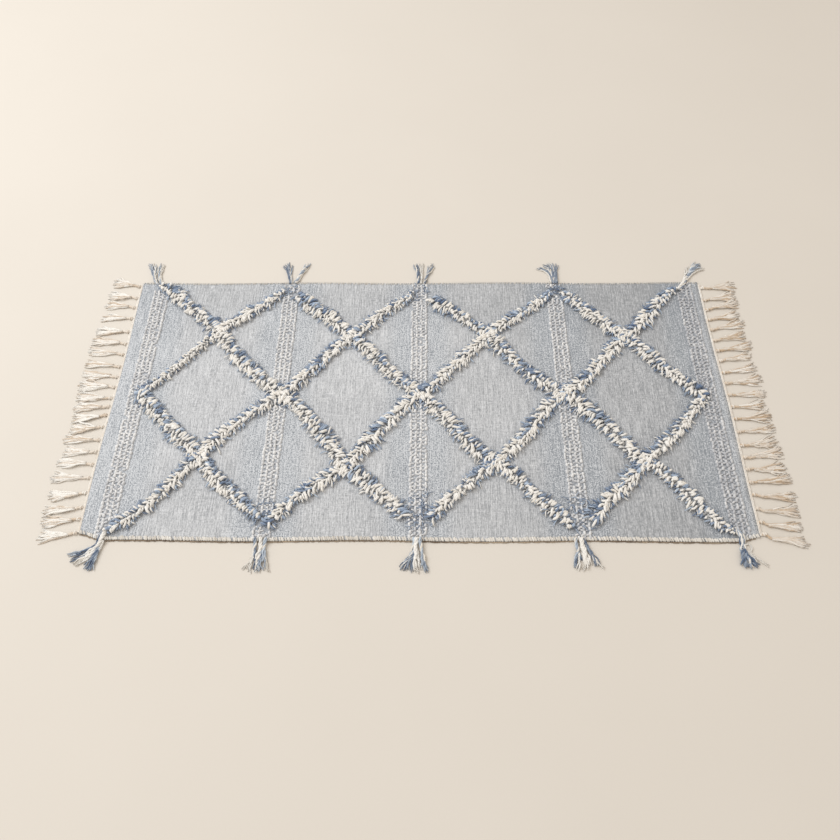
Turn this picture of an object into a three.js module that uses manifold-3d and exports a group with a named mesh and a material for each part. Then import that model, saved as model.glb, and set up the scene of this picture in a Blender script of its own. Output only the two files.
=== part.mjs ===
// Fringed kilim rug with a raised diamond lattice, lying flat on a floor.
// Millimetres, +Z up, +X along the rug's long side. The origin is on the floor under its centre.

import * as THREE from 'three';
import { mergeVertices } from 'three/addons/utils/BufferGeometryUtils.js';
import Module from 'manifold-3d';

const wasm = await Module();
wasm.setup();

// Driving dimensions

const PIECE_GAP = 0.3;
const CLOTH = { length: 1200, width: 600, thickness: 3 };
const EDGE_SWAY = { depth: 1.2, wave: 410 };

// The front corners are drawn in: how deep, and how far along the front edge.
const CORNER_DRAW = { left: 12, right: 8, reach: 44 };

// The woven edge along each long side is a low rounded bead.
const SELVEDGE = { width: 9, crest: 3.5, height: 1.6 };

// Textured bands cross the cloth from side to side, each with four ribs of raised stitches.
// The ribs stop short of the pile.
const RIBS = { count: 4, pitch: 9.5, height: 1.8, rise: 6 };
const OUTER_STRETCHES = [
  { from: -232, to: -50 },
  { from: 66, to: 228 },
];
const INNER_STRETCHES = [
  { from: -196, to: -54 },
  { from: 70, to: 204 },
];
const BANDS = [
  { centre: -556, stretches: OUTER_STRETCHES },
  { centre: -276, stretches: INNER_STRETCHES },
  { centre: -1, stretches: INNER_STRETCHES },
  { centre: 288, stretches: INNER_STRETCHES },
  { centre: 566, stretches: OUTER_STRETCHES },
];

// Pile lies in lines over the cloth: a lumpy ridge with locks standing out at both rims.
const PILE = {
  half: 16,
  shoulder: 10,
  height: 10.5,
  shoulderHeight: 8,
  lump: 2.2,
  shortLock: 5,
  lock: 8,
  lockLean: 4,
  step: 11,
  wander: 2,
};
const CORNER_END = { narrow: 0.45, low: 0.7 };

// Numbers that keep the random draws of the pile apart: by line, by step and by use.
const DRAWS = { perLine: 1000, perArm: 10, perStep: 10, sway: 5, lock: 6 };

const CROSSING = { clear: 34, half: 15, seat: 17.4 };
const MITRE_REACH = 22;

// Where two lines meet at a long edge, they stop this far short of the plane between them.
const OPEN_VERTEX = 13;

// Fringe: knotted warp ends, each a cord that frays into a brush.
const FRINGE = { clear: 0.9, strip: 6, stripHeight: 2.7, root: 4, rootHeight: 2.2, knot: 9, brush: 46 };
const BRUSH = { start: 0.57, end: 0.6, fan: 6, sideShort: 3 };
const CORD = { width: 4.6, height: 3.6, knotWidth: 7.4, knotHeight: 5, endWidth: 5.2 };
const END_STRAND = { width: 3, tipWidth: 1.4, height: 2.6, tipHeight: 1.2 };

// Tassels: yarn ends drawn together in a head against the long edges, slimmer at the corners.
const TASSEL = { clear: 0.6, head: 20, cornerHead: 12, headHeight: 5.5, collar: 5, spread: 3 };
const TASSEL_STRAND = { width: 4.4, tipWidth: 2, height: 3.4, tipHeight: 1.6 };

// Points of the diamond lattice. Bands are counted from the left, and cells from the left too.
const KNOTS = {
  backLeft: { x: -564, y: 286 },
  backBand1: { x: -279, y: 266 },
  backBand2: { x: -2, y: 266 },
  backBand3: { x: 297, y: 272 },
  backRight: { x: 550, y: 286 },
  highCell0: { x: -418, y: 170 },
  highCell1: { x: -138, y: 156 },
  highCell2: { x: 144, y: 156 },
  highCell3: { x: 420, y: 156 },
  midBand0: { x: -552, y: 10 },
  midBand1: { x: -272, y: 6 },
  midBand2: { x: -2, y: 8 },
  midBand3: { x: 288, y: 8 },
  midBand4: { x: 562, y: 2 },
  lowCell0: { x: -412, y: -136 },
  lowCell1: { x: -138, y: -150 },
  lowCell2: { x: 144, y: -148 },
  lowCell3: { x: 414, y: -142 },
  frontLeft: { x: -548, y: -282 },
  frontBand1: { x: -266, y: -256 },
  frontBand2: { x: -1, y: -260 },
  frontBand3: { x: 287, y: -264 },
  frontRight: { x: 558, y: -286 },
};

// A falling line runs from back left to front right and stays whole at each crossing.
// A rising line runs from front left to back right and is broken at each crossing.
const FALLING_LINES = [
  ['midBand0', 'lowCell0', 'frontBand1'],
  ['backLeft', 'highCell0', 'midBand1', 'lowCell1', 'frontBand2'],
  ['backBand1', 'highCell1', 'midBand2', 'lowCell2', 'frontBand3'],
  ['backBand2', 'highCell2', 'midBand3', 'lowCell3', 'frontRight'],
  ['backBand3', 'highCell3', 'midBand4'],
];
const RISING_LINES = [
  ['midBand0', 'highCell0', 'backBand1'],
  ['frontLeft', 'lowCell0', 'midBand1', 'highCell1', 'backBand2'],
  ['frontBand1', 'lowCell1', 'midBand2', 'highCell2', 'backBand3'],
  ['frontBand2', 'lowCell2', 'midBand3', 'highCell3', 'backRight'],
  ['frontBand3', 'lowCell3', 'midBand4'],
];

// Where two lines meet in a point, both are cut beside the plane between them.
const MITRES = {
  backBand1: 'x',
  backBand2: 'x',
  backBand3: 'x',
  frontBand1: 'x',
  frontBand2: 'x',
  frontBand3: 'x',
  midBand0: 'y',
  midBand4: 'y',
};
const CORNERS = new Set(['backLeft', 'backRight', 'frontLeft', 'frontRight']);

// Fringe bundles from back to front: root and tip along Y, and the tip's distance from centre.
const LEFT_BUNDLES = [
  { root: 291, tip: 302, reach: 672 },
  { root: 258, tip: 267, reach: 674 },
  { root: 232, tip: 240, reach: 676 },
  { root: 202, tip: 203, reach: 675 },
  { root: 166, tip: 168, reach: 677 },
  { root: 134, tip: 142, reach: 681 },
  { root: 107, tip: 116, reach: 683 },
  { root: 76, tip: 84, reach: 681 },
  { root: 51, tip: 58, reach: 680 },
  { root: 26, tip: 32, reach: 682 },
  { root: 0, tip: 2, reach: 680 },
  { root: -20, tip: -22, reach: 678 },
  { root: -40, tip: -48, reach: 676 },
  { root: -66, tip: -72, reach: 676 },
  { root: -96, tip: -95, reach: 680 },
  { root: -122, tip: -122, reach: 674 },
  { root: -149, tip: -143, reach: 679 },
  { root: -177, tip: -176, reach: 683 },
  { root: -208, tip: -214, reach: 678 },
  { root: -237, tip: -244, reach: 680 },
  { root: -260, tip: -266, reach: 676 },
  { root: -287, tip: -295, reach: 675 },
];
const RIGHT_BUNDLES = [
  { root: 285, tip: 290, reach: 684 },
  { root: 250, tip: 264, reach: 678 },
  { root: 224, tip: 244, reach: 681 },
  { root: 197, tip: 212, reach: 675 },
  { root: 170, tip: 189, reach: 681 },
  { root: 142, tip: 158, reach: 675 },
  { root: 116, tip: 130, reach: 684 },
  { root: 90, tip: 104, reach: 677 },
  { root: 61, tip: 74, reach: 679 },
  { root: 35, tip: 45, reach: 684 },
  { root: 8, tip: 13, reach: 684 },
  { root: -20, tip: -15, reach: 676 },
  { root: -48, tip: -41, reach: 683 },
  { root: -77, tip: -69, reach: 682 },
  { root: -107, tip: -98, reach: 680 },
  { root: -133, tip: -121, reach: 685 },
  { root: -158, tip: -154, reach: 683 },
  { root: -185, tip: -177, reach: 686 },
  { root: -210, tip: -213, reach: 686 },
  { root: -238, tip: -244, reach: 683 },
  { root: -264, tip: -274, reach: 680 },
  { root: -288, tip: -302, reach: 686 },
];

// Tassels: x of each root, the point where its strands part, and the tips as x and reach in Y.
const BACK_TASSELS = [
  { root: -574, part: { x: -582, y: 318 }, tips: [[-614, 356], [-604, 362], [-592, 361], [-579, 360]] },
  {
    root: -281,
    part: { x: -280, y: 317 },
    tips: [[-303, 352], [-295, 361], [-285, 357], [-258, 356], [-247, 352]],
  },
  {
    root: 2,
    part: { x: 4, y: 317 },
    tips: [[-13, 358], [-6, 352], [2, 357], [9, 354], [22, 356], [33, 352]],
  },
  {
    root: 294,
    part: { x: 290, y: 316 },
    tips: [[256, 345], [265, 349], [274, 354], [284, 359], [293, 357], [303, 353]],
  },
  { root: 570, part: { x: 588, y: 324 }, tips: [[592, 355], [606, 353], [617, 350], [626, 346]] },
];
const FRONT_TASSELS = [
  {
    root: -561,
    part: { x: -572, y: -314 },
    tips: [[-615, -325], [-609, -337], [-600, -345], [-588, -349], [-576, -352], [-566, -353]],
  },
  {
    root: -281,
    part: { x: -281, y: -318 },
    tips: [[-303, -350], [-294, -356], [-284, -357], [-276, -353], [-269, -358], [-260, -354]],
  },
  {
    root: -3,
    part: { x: -4, y: -318 },
    tips: [[-32, -350], [-24, -354], [-15, -357], [-5, -359], [8, -353], [19, -353]],
  },
  {
    root: 283,
    part: { x: 288, y: -318 },
    tips: [[270, -350], [278, -354], [286, -351], [297, -349], [309, -352], [318, -348]],
  },
  {
    root: 564,
    part: { x: 570, y: -316 },
    tips: [[560, -342], [567, -348], [577, -352], [587, -351], [600, -343]],
  },
];

// Materials

function fabric(color) {
  return new THREE.MeshStandardMaterial({ color, roughness: 0.95, metalness: 0 });
}

const GROUND = fabric(0xb4bcc9);
const PILE_YARN = fabric(0xe2dccf);
const COTTON = fabric(0xe6dac4);
const TASSEL_YARN = fabric(0xc3cbd6);

// Helpers

const FULL_TURN = 2 * Math.PI;

// Keeps only a geometry's positions, with shared vertices merged, so that it is one closed body.
function bare(geometry) {
  geometry.deleteAttribute('normal');
  geometry.deleteAttribute('uv');
  return mergeVertices(geometry, 1e-4);
}

function toSolid(geometry) {
  const closed = bare(geometry);
  const vertProperties = new Float32Array(closed.attributes.position.array);
  const triVerts = new Uint32Array(closed.index.array);
  return new wasm.Manifold(new wasm.Mesh({ numProp: 3, vertProperties, triVerts }));
}

function toMesh(name, solid, material) {
  const body = solid.getMesh();
  const geometry = new THREE.BufferGeometry();
  geometry.setAttribute('position', new THREE.BufferAttribute(body.vertProperties, 3));
  geometry.setIndex(new THREE.BufferAttribute(body.triVerts, 1));
  geometry.computeVertexNormals();
  const mesh = new THREE.Mesh(geometry, material);
  mesh.name = name;
  return mesh;
}

// A bar of any section along a route. place(side, step) gives the point for one corner of the
// section at one step. The sides run counter-clockwise for someone looking along the route.
function bar(sides, steps, place) {
  const geometry = new THREE.CylinderGeometry(1, 1, 1, sides, steps);
  const position = geometry.attributes.position;
  for (let i = 0; i < position.count; i += 1) {
    const step = Math.round((0.5 - position.getY(i)) * steps);
    const radius = Math.hypot(position.getX(i), position.getZ(i));
    const angle = Math.atan2(position.getX(i), position.getZ(i)) + FULL_TURN;
    const side = Math.round((angle / FULL_TURN) * sides) % sides;
    const point = radius > 0.5 ? place(side, step) : middle(sides, (corner) => place(corner, step));
    position.setXYZ(i, point.x, point.y, point.z);
  }
  return toSolid(geometry);
}

function middle(count, pointAt) {
  const sum = new THREE.Vector3();
  for (let i = 0; i < count; i += 1) {
    sum.add(pointAt(i));
  }
  return sum.divideScalar(count);
}

// Unit vector to the right of a route's direction, level with the floor.
function rightOf(direction) {
  return new THREE.Vector3(direction.y, -direction.x, 0).normalize();
}

function directionAt(points, index) {
  const before = points[Math.max(index - 1, 0)];
  const after = points[Math.min(index + 1, points.length - 1)];
  return after.clone().sub(before).normalize();
}

// A strand that lies on the floor: flat underneath, three or four sides, one size per point.
function lyingStrand(sides, points, sizes) {
  const place = (side, step) => {
    const size = sizes[step];
    const across = rightOf(directionAt(points, step));
    const corners = strandSection(sides, size.width / 2, size.height);
    const corner = corners[side];
    return points[step].clone().addScaledVector(across, corner.across).setZ(corner.up);
  };
  return bar(sides, points.length - 1, place);
}

const SHOULDER = 0.7;

function strandSection(sides, half, height) {
  if (sides === 3) {
    return [
      { across: half, up: 0 },
      { across: 0, up: height },
      { across: -half, up: 0 },
    ];
  }
  return [
    { across: half, up: 0 },
    { across: half * SHOULDER, up: height },
    { across: -half * SHOULDER, up: height },
    { across: -half, up: 0 },
  ];
}

function joinAll(solids) {
  return solids.reduce((whole, solid) => whole.add(solid));
}

function boxAt(size, centre, turn = 0) {
  const geometry = new THREE.BoxGeometry(size.x, size.y, size.z);
  geometry.rotateZ(turn);
  geometry.translate(centre.x, centre.y, centre.z);
  return toSolid(geometry);
}

// How far an edge of the cloth strays from straight, at a place along it.
function edgeSway(along, phase) {
  return EDGE_SWAY.depth * Math.sin((along / EDGE_SWAY.wave) * FULL_TURN + phase);
}

const EDGE_PHASES = { left: 0.4, right: 1.9, front: 3.1, back: 5.2 };

function sideEdge(sign, y) {
  return sign * (CLOTH.length / 2) + edgeSway(y, sign < 0 ? EDGE_PHASES.left : EDGE_PHASES.right);
}

// How far the front edge is drawn in at a place along it.
function cornerDraw(x) {
  const depth = x < 0 ? CORNER_DRAW.left : CORNER_DRAW.right;
  const start = CLOTH.length / 2 - CORNER_DRAW.reach;
  return depth * THREE.MathUtils.smoothstep(Math.abs(x), start, CLOTH.length / 2);
}

function longEdge(sign, x) {
  const sway = edgeSway(x, sign < 0 ? EDGE_PHASES.front : EDGE_PHASES.back);
  return sign * (CLOTH.width / 2) + sway + (sign < 0 ? cornerDraw(x) : 0);
}

// The outermost reach of a long edge within a distance either way of a place along it.
function clearOfEdge(sign, x, within) {
  const reaches = [x - within, x, x + within].map((place) => Math.abs(longEdge(sign, place)));
  return sign * Math.max(...reaches);
}

// Cloth: one flat solid, its ribs and selvedges raised in the points of its top face

function clothColumns() {
  const columns = [{ at: -CLOTH.length / 2, stretches: [] }];
  const halfBand = (RIBS.count * RIBS.pitch) / 2;
  for (const band of BANDS) {
    columns.push({ at: band.centre - halfBand, stretches: [] });
    for (let rib = 0; rib < RIBS.count; rib += 1) {
      const left = band.centre - halfBand + rib * RIBS.pitch;
      columns.push({ at: left + RIBS.pitch / 2, stretches: band.stretches });
      columns.push({ at: left + RIBS.pitch, stretches: [] });
    }
  }
  columns.push({ at: CLOTH.length / 2, stretches: [] });
  return columns;
}

function clothRows() {
  const edge = CLOTH.width / 2;
  const places = new Set();
  for (const stretch of [...OUTER_STRETCHES, ...INNER_STRETCHES]) {
    places.add(stretch.from);
    places.add(stretch.from + RIBS.rise);
    places.add(stretch.to - RIBS.rise);
    places.add(stretch.to);
  }
  for (const sign of [-1, 1]) {
    places.add(sign * edge);
    places.add(sign * (edge - SELVEDGE.crest));
    places.add(sign * (edge - SELVEDGE.width));
  }
  return [...places].sort((low, high) => low - high);
}

function clothTop(column, y) {
  const onRib = column.stretches.some(
    (stretch) => y >= stretch.from + RIBS.rise && y <= stretch.to - RIBS.rise,
  );
  const onBead = Math.abs(y) === CLOTH.width / 2 - SELVEDGE.crest;
  return CLOTH.thickness + (onRib ? RIBS.height : 0) + (onBead ? SELVEDGE.height : 0);
}

function makeCloth() {
  const columns = clothColumns();
  const rows = clothRows();
  const spare = CLOTH.thickness;
  const geometry = new THREE.BoxGeometry(1, 1, 1, columns.length - 1, rows.length - 1, 1);
  const position = geometry.attributes.position;
  for (let i = 0; i < position.count; i += 1) {
    const column = columns[Math.round((position.getX(i) + 0.5) * (columns.length - 1))];
    const row = rows[Math.round((position.getY(i) + 0.5) * (rows.length - 1))];
    const x = (sideEdge(Math.sign(column.at), row) * Math.abs(column.at)) / (CLOTH.length / 2);
    const y = (longEdge(Math.sign(row), column.at) * Math.abs(row)) / (CLOTH.width / 2);
    const z = position.getZ(i) > 0 ? clothTop(column, row) : -spare;
    position.setXYZ(i, x, y, z);
  }
  const under = { x: CLOTH.length * 2, y: CLOTH.width * 2, z: spare * 2 };
  return toSolid(geometry).subtract(boxAt(under, { x: 0, y: 0, z: -spare }));
}

// Pile

function pointOf(name) {
  return new THREE.Vector3(KNOTS[name].x, KNOTS[name].y, 0);
}

// Points along a line of pile, from knot to knot, at even steps, run on past a mitred end.
function pileRoute(names) {
  const knots = names.map(pointOf);
  const last = knots.length - 1;
  const lead = knots[0].clone().sub(knots[1]).setLength(MITRE_REACH);
  const tail = knots[last].clone().sub(knots[last - 1]).setLength(MITRE_REACH);
  if (MITRES[names[0]]) {
    knots[0].add(lead);
  }
  if (MITRES[names[last]]) {
    knots[last].add(tail);
  }
  const route = [];
  for (let i = 0; i < last; i += 1) {
    const length = knots[i].distanceTo(knots[i + 1]);
    const steps = Math.round(length / PILE.step);
    for (let step = i === 0 ? 0 : 1; step <= steps; step += 1) {
      route.push(knots[i].clone().lerp(knots[i + 1], step / steps));
    }
  }
  return route;
}

function nearCrossing(point, crossings) {
  return crossings.some((name) => pointOf(name).distanceTo(point) < CROSSING.clear);
}

// A ridge of five corners: rim, shoulder, crest, shoulder, rim. Locks stand out at every other
// step, on alternate rims, and lean forwards; the rims are plain where another line crosses.
function makePile(names, crossings, seed) {
  const route = pileRoute(names);
  const base = CLOTH.thickness + PIECE_GAP;
  const draw = seed * DRAWS.perLine;
  const random = (step, use) => THREE.MathUtils.seededRandom(draw + step * DRAWS.perStep + use);
  const isCorner = (step) => {
    const name = step === 0 ? names[0] : names[names.length - 1];
    return (step === 0 || step === route.length - 1) && CORNERS.has(name);
  };
  const place = (side, step) => {
    const forward = directionAt(route, step);
    const across = rightOf(forward);
    const plain = nearCrossing(route[step], crossings);
    const narrow = isCorner(step) ? CORNER_END.narrow : 1;
    const sway = plain ? 0 : (random(step, DRAWS.sway) - 0.5) * PILE.wander;
    const lump = (random(step, side) - 0.5) * PILE.lump;
    const onRight = side < 2;
    const lockHere = (step + (onRight ? 0 : 1)) % 2 === 0 && !plain && narrow === 1;
    const length = THREE.MathUtils.lerp(PILE.shortLock, PILE.lock, random(step, DRAWS.lock));
    const lock = lockHere ? length : 0;
    const rim = plain ? CROSSING.half : PILE.half + lock;
    const corners = [
      { across: rim, up: 0, lean: lock > 0 ? PILE.lockLean : 0 },
      { across: PILE.shoulder, up: PILE.shoulderHeight + lump, lean: 0 },
      { across: 0, up: PILE.height + lump, lean: 0 },
      { across: -PILE.shoulder, up: PILE.shoulderHeight + lump, lean: 0 },
      { across: -rim, up: 0, lean: lock > 0 ? PILE.lockLean : 0 },
    ];
    const corner = corners[side];
    return route[step]
      .clone()
      .addScaledVector(across, (corner.across + sway) * narrow)
      .addScaledVector(forward, corner.lean)
      .setZ(base + corner.up * (narrow === 1 ? 1 : CORNER_END.low));
  };
  return bar(5, route.length - 1, place);
}

const CUTTER = { reach: 120, height: 80 };

// Cuts a pile solid beside the plane of a mitre, keeping the side that its other end lies on.
function cutMitre(solid, name, towards) {
  const knot = pointOf(name);
  const axis = MITRES[name];
  const side = Math.sign(towards[axis] - knot[axis]);
  const clear = axis === 'x' ? OPEN_VERTEX : PIECE_GAP / 2;
  const centre = knot.clone();
  centre[axis] -= side * (CUTTER.reach / 2 - clear);
  return solid.subtract(boxAt({ x: CUTTER.reach, y: CUTTER.reach, z: CUTTER.height }, centre));
}

// Direction of the falling line through a crossing, from its neighbours on that line.
function fallingTurn(name) {
  const line = FALLING_LINES.find((names) => names.includes(name));
  const index = line.indexOf(name);
  const way = pointOf(line[index + 1]).sub(pointOf(line[index - 1]));
  return Math.atan2(way.y, way.x);
}

// Cuts a rising arm back to the flank of the falling line that it runs into.
function cutCrossing(solid, name) {
  const size = { x: CUTTER.reach, y: CROSSING.seat * 2, z: CUTTER.height };
  return solid.subtract(boxAt(size, pointOf(name), fallingTurn(name)));
}

// Keeps pile off the raised beads along the long edges.
function cutAtBeads(solid) {
  const clear = CLOTH.width / 2 - SELVEDGE.width - EDGE_SWAY.depth - PIECE_GAP;
  const size = { x: CLOTH.length, y: CUTTER.reach, z: CUTTER.height };
  const front = boxAt(size, { x: 0, y: -clear - CUTTER.reach / 2, z: 0 });
  const back = boxAt(size, { x: 0, y: clear + CUTTER.reach / 2, z: 0 });
  return solid.subtract(front).subtract(back);
}

function trimEnd(solid, name, towards) {
  if (MITRES[name]) {
    return cutMitre(solid, name, towards);
  }
  return CORNERS.has(name) ? solid : cutCrossing(solid, name);
}

// A stretch of pile from its first knot to its last, whole at any knot between them.
function makeLine(names, seed) {
  const last = names.length - 1;
  const solid = makePile(names, names.slice(1, last), seed);
  const started = trimEnd(solid, names[0], pointOf(names[1]));
  return cutAtBeads(trimEnd(started, names[last], pointOf(names[last - 1])));
}

// Fringe: a strip along the short edge, with every bundle's cord rooted in it

const STRIP_END_INSET = 2;
const STRIP_STEPS = 8;

function fringeStrip(sign) {
  const corner = (sign * CLOTH.length) / 2;
  const front = longEdge(-1, corner) + STRIP_END_INSET;
  const back = longEdge(1, corner) - STRIP_END_INSET;
  const points = [];
  const sizes = [];
  for (let step = 0; step <= STRIP_STEPS; step += 1) {
    const y = THREE.MathUtils.lerp(front, back, step / STRIP_STEPS);
    const x = sideEdge(sign, y) + sign * (FRINGE.clear + FRINGE.strip / 2);
    points.push(new THREE.Vector3(x, y, 0));
    sizes.push({ width: FRINGE.strip, height: FRINGE.stripHeight });
  }
  return lyingStrand(4, points, sizes);
}

function fringeBundle(sign, bundle) {
  const edge = sideEdge(sign, bundle.root);
  const turnOut = (distance, y) => new THREE.Vector3(edge + sign * distance, y, 0);
  const drift = (share) => THREE.MathUtils.lerp(bundle.root, bundle.tip, share);
  const tip = new THREE.Vector3(sign * bundle.reach, bundle.tip, 0);
  const cordPoints = [
    turnOut(FRINGE.root, bundle.root),
    turnOut(FRINGE.knot, bundle.root),
    turnOut(FRINGE.knot + CORD.knotWidth, bundle.root),
    turnOut(FRINGE.brush, drift(BRUSH.end)),
    tip,
  ];
  const cordSizes = [
    { width: CORD.width, height: FRINGE.rootHeight },
    { width: CORD.knotWidth, height: CORD.knotHeight },
    { width: CORD.width, height: CORD.height },
    { width: CORD.endWidth, height: CORD.height },
    { width: END_STRAND.tipWidth, height: END_STRAND.tipHeight },
  ];
  const strandSizes = [
    { width: END_STRAND.width, height: END_STRAND.height },
    { width: END_STRAND.tipWidth, height: END_STRAND.tipHeight },
  ];
  const parts = [lyingStrand(4, cordPoints, cordSizes)];
  for (const side of [-1, 1]) {
    const start = turnOut(FRINGE.brush - CORD.endWidth / 2, drift(BRUSH.start) + side);
    const end = tip.clone().add(new THREE.Vector3(-sign * BRUSH.sideShort, side * BRUSH.fan, 0));
    parts.push(lyingStrand(3, [start, end], strandSizes));
  }
  return joinAll(parts);
}

function makeFringe(sign, bundles) {
  const parts = bundles.map((bundle) => fringeBundle(sign, bundle));
  return joinAll([fringeStrip(sign), ...parts]);
}

// Tassels: a head against the long edge, and strands that fan out over the floor

// Shares of a tassel's way: where its head ends, where its strands bend, how far they are drawn
// back towards its middle there, and how wide their feet stand in the head.
const TASSEL_WAY = { waist: 0.6, bow: 0.45, drawn: 0.15, feet: 0.5, waistWidth: 0.85 };

function makeTassel(sign, tassel) {
  const atCorner = Math.abs(tassel.root) > CLOTH.length / 2 - CORNER_DRAW.reach;
  const head = atCorner ? TASSEL.cornerHead : TASSEL.head;
  const start = clearOfEdge(sign, tassel.root, head / 2) + sign * TASSEL.clear;
  const part = new THREE.Vector3(tassel.part.x, tassel.part.y, 0);
  const root = new THREE.Vector3(tassel.root, start, 0);
  const collar = new THREE.Vector3(tassel.root, start + sign * TASSEL.collar, 0);
  const headSizes = [
    { width: head, height: TASSEL.headHeight },
    { width: head, height: TASSEL.headHeight },
    { width: head * TASSEL_WAY.waistWidth, height: TASSEL.headHeight },
    { width: head + TASSEL.spread, height: TASSEL_STRAND.height },
  ];
  const waist = root.clone().lerp(part, TASSEL_WAY.waist);
  const parts = [lyingStrand(4, [root, collar, waist, part], headSizes)];
  tassel.tips.forEach(([x, y], index) => {
    const share = index / (tassel.tips.length - 1) - 0.5;
    const foot = waist.clone();
    foot.x += share * head * TASSEL_WAY.feet;
    const tip = new THREE.Vector3(x, y, 0);
    const bend = foot.clone().lerp(tip, TASSEL_WAY.bow);
    bend.x += (part.x - bend.x) * TASSEL_WAY.drawn;
    const sizes = [
      { width: TASSEL_STRAND.width, height: TASSEL_STRAND.height },
      { width: TASSEL_STRAND.width, height: TASSEL_STRAND.height },
      { width: TASSEL_STRAND.tipWidth, height: TASSEL_STRAND.tipHeight },
    ];
    parts.push(lyingStrand(3, [foot, bend, tip], sizes));
  });
  return joinAll(parts);
}

// The whole rug

const rug = new THREE.Group();
rug.add(toMesh('kilim_cloth', makeCloth(), GROUND));

FALLING_LINES.forEach((names, line) => {
  rug.add(toMesh(`pile_falling_${line + 1}`, makeLine(names, line + 1), PILE_YARN));
});

RISING_LINES.forEach((names, line) => {
  for (let arm = 0; arm < names.length - 1; arm += 1) {
    const seed = (line + 1) * DRAWS.perArm + arm;
    const solid = makeLine([names[arm], names[arm + 1]], seed);
    rug.add(toMesh(`pile_rising_${line + 1}_${arm + 1}`, solid, PILE_YARN));
  }
});

rug.add(toMesh('fringe_left', makeFringe(-1, LEFT_BUNDLES), COTTON));
rug.add(toMesh('fringe_right', makeFringe(1, RIGHT_BUNDLES), COTTON));

BACK_TASSELS.forEach((tassel, index) => {
  rug.add(toMesh(`tassel_back_${index + 1}`, makeTassel(1, tassel), TASSEL_YARN));
});

FRONT_TASSELS.forEach((tassel, index) => {
  rug.add(toMesh(`tassel_front_${index + 1}`, makeTassel(-1, tassel), TASSEL_YARN));
});

export default rug;
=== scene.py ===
"""Fringed kilim rug with a raised diamond lattice of cut pile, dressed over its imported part.

The frame is the part's own: metres, the floor at z = 0, +X along the rug, the front at -Y.
Sizes and tables are in millimetres, as a weaver would note them, and MM turns them to metres.
"""

import logging
import math
from dataclasses import dataclass, field
from enum import Enum
from functools import cached_property
from itertools import product
from typing import Sequence

import bmesh
import bpy
import numpy as np
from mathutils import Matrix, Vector, noise


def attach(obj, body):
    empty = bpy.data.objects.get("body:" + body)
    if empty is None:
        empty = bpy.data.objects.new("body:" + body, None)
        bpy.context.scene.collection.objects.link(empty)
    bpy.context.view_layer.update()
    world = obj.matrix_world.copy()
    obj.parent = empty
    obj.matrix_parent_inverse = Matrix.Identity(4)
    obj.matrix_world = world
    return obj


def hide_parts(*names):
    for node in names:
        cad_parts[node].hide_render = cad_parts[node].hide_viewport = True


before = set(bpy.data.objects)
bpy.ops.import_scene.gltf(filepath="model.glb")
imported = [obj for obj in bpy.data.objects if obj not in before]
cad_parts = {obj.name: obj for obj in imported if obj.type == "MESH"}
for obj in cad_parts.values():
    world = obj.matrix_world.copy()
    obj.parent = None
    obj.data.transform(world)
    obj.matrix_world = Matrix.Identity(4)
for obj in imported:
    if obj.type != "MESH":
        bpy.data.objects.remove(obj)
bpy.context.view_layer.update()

log = logging.getLogger("kilim")

MM = 0.001
FULL_TURN = 2 * math.pi
BODY = "root"

Point = tuple[float, float]
Span = tuple[float, float]
Triple = tuple[float, float, float]
Colour = tuple[float, float, float]


class Slot(Enum):
    """The record's material slots."""

    GROUND = "ground_weave"
    CREAM = "cream_yarn"
    BLUE = "blue_yarn"
    COTTON = "fringe_cotton"


class Dye(Enum):
    """The two yarns that the pile and the tassels are made of."""

    CREAM = 0
    BLUE = 1


class End(Enum):
    """The two short ends of the rug, by the sign of X."""

    LEFT = -1
    RIGHT = 1


class Side(Enum):
    """The two long sides of the rug, by the sign of Y."""

    FRONT = -1
    BACK = 1


# Small helpers for numbers and lines


def smooth_step(low: float, high: float, value: np.ndarray) -> np.ndarray:
    """Rises smoothly from 0 to 1.

    Args:
        low: Where the rise starts.
        high: Where it ends.
        value: The places asked about.

    Returns:
        A number from 0 to 1 for each place.
    """
    share = np.clip((value - low) / (high - low), 0.0, 1.0)
    return share * share * (3 - 2 * share)


def drift(places: np.ndarray, spacing: float, rng: np.random.Generator) -> np.ndarray:
    """Gives a smooth random wander along a line.

    Args:
        places: Distances along the line, none below zero.
        spacing: The distance over which the wander changes.
        rng: The seeded source of random numbers.

    Returns:
        A number from -1 to 1 for each place.
    """
    knots = rng.uniform(-1.0, 1.0, int(np.max(places) / spacing) + 3)
    at = places / spacing
    low = np.floor(at).astype(int)
    ease = smooth_step(0.0, 1.0, at - low)
    return knots[low] * (1 - ease) + knots[low + 1] * ease


def tones_about(middle: float | np.ndarray, spread: float, count: int,
                rng: np.random.Generator) -> np.ndarray:
    """Gives each strand a tone by chance.

    Args:
        middle: The middle tone, for all the strands or for each.
        spread: How far the tones stray from it.
        count: How many strands there are.
        rng: The seeded source of random numbers.

    Returns:
        A tone from 0 to 1 for each strand.
    """
    return np.clip(rng.normal(middle, spread, count), 0, 1)


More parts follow.
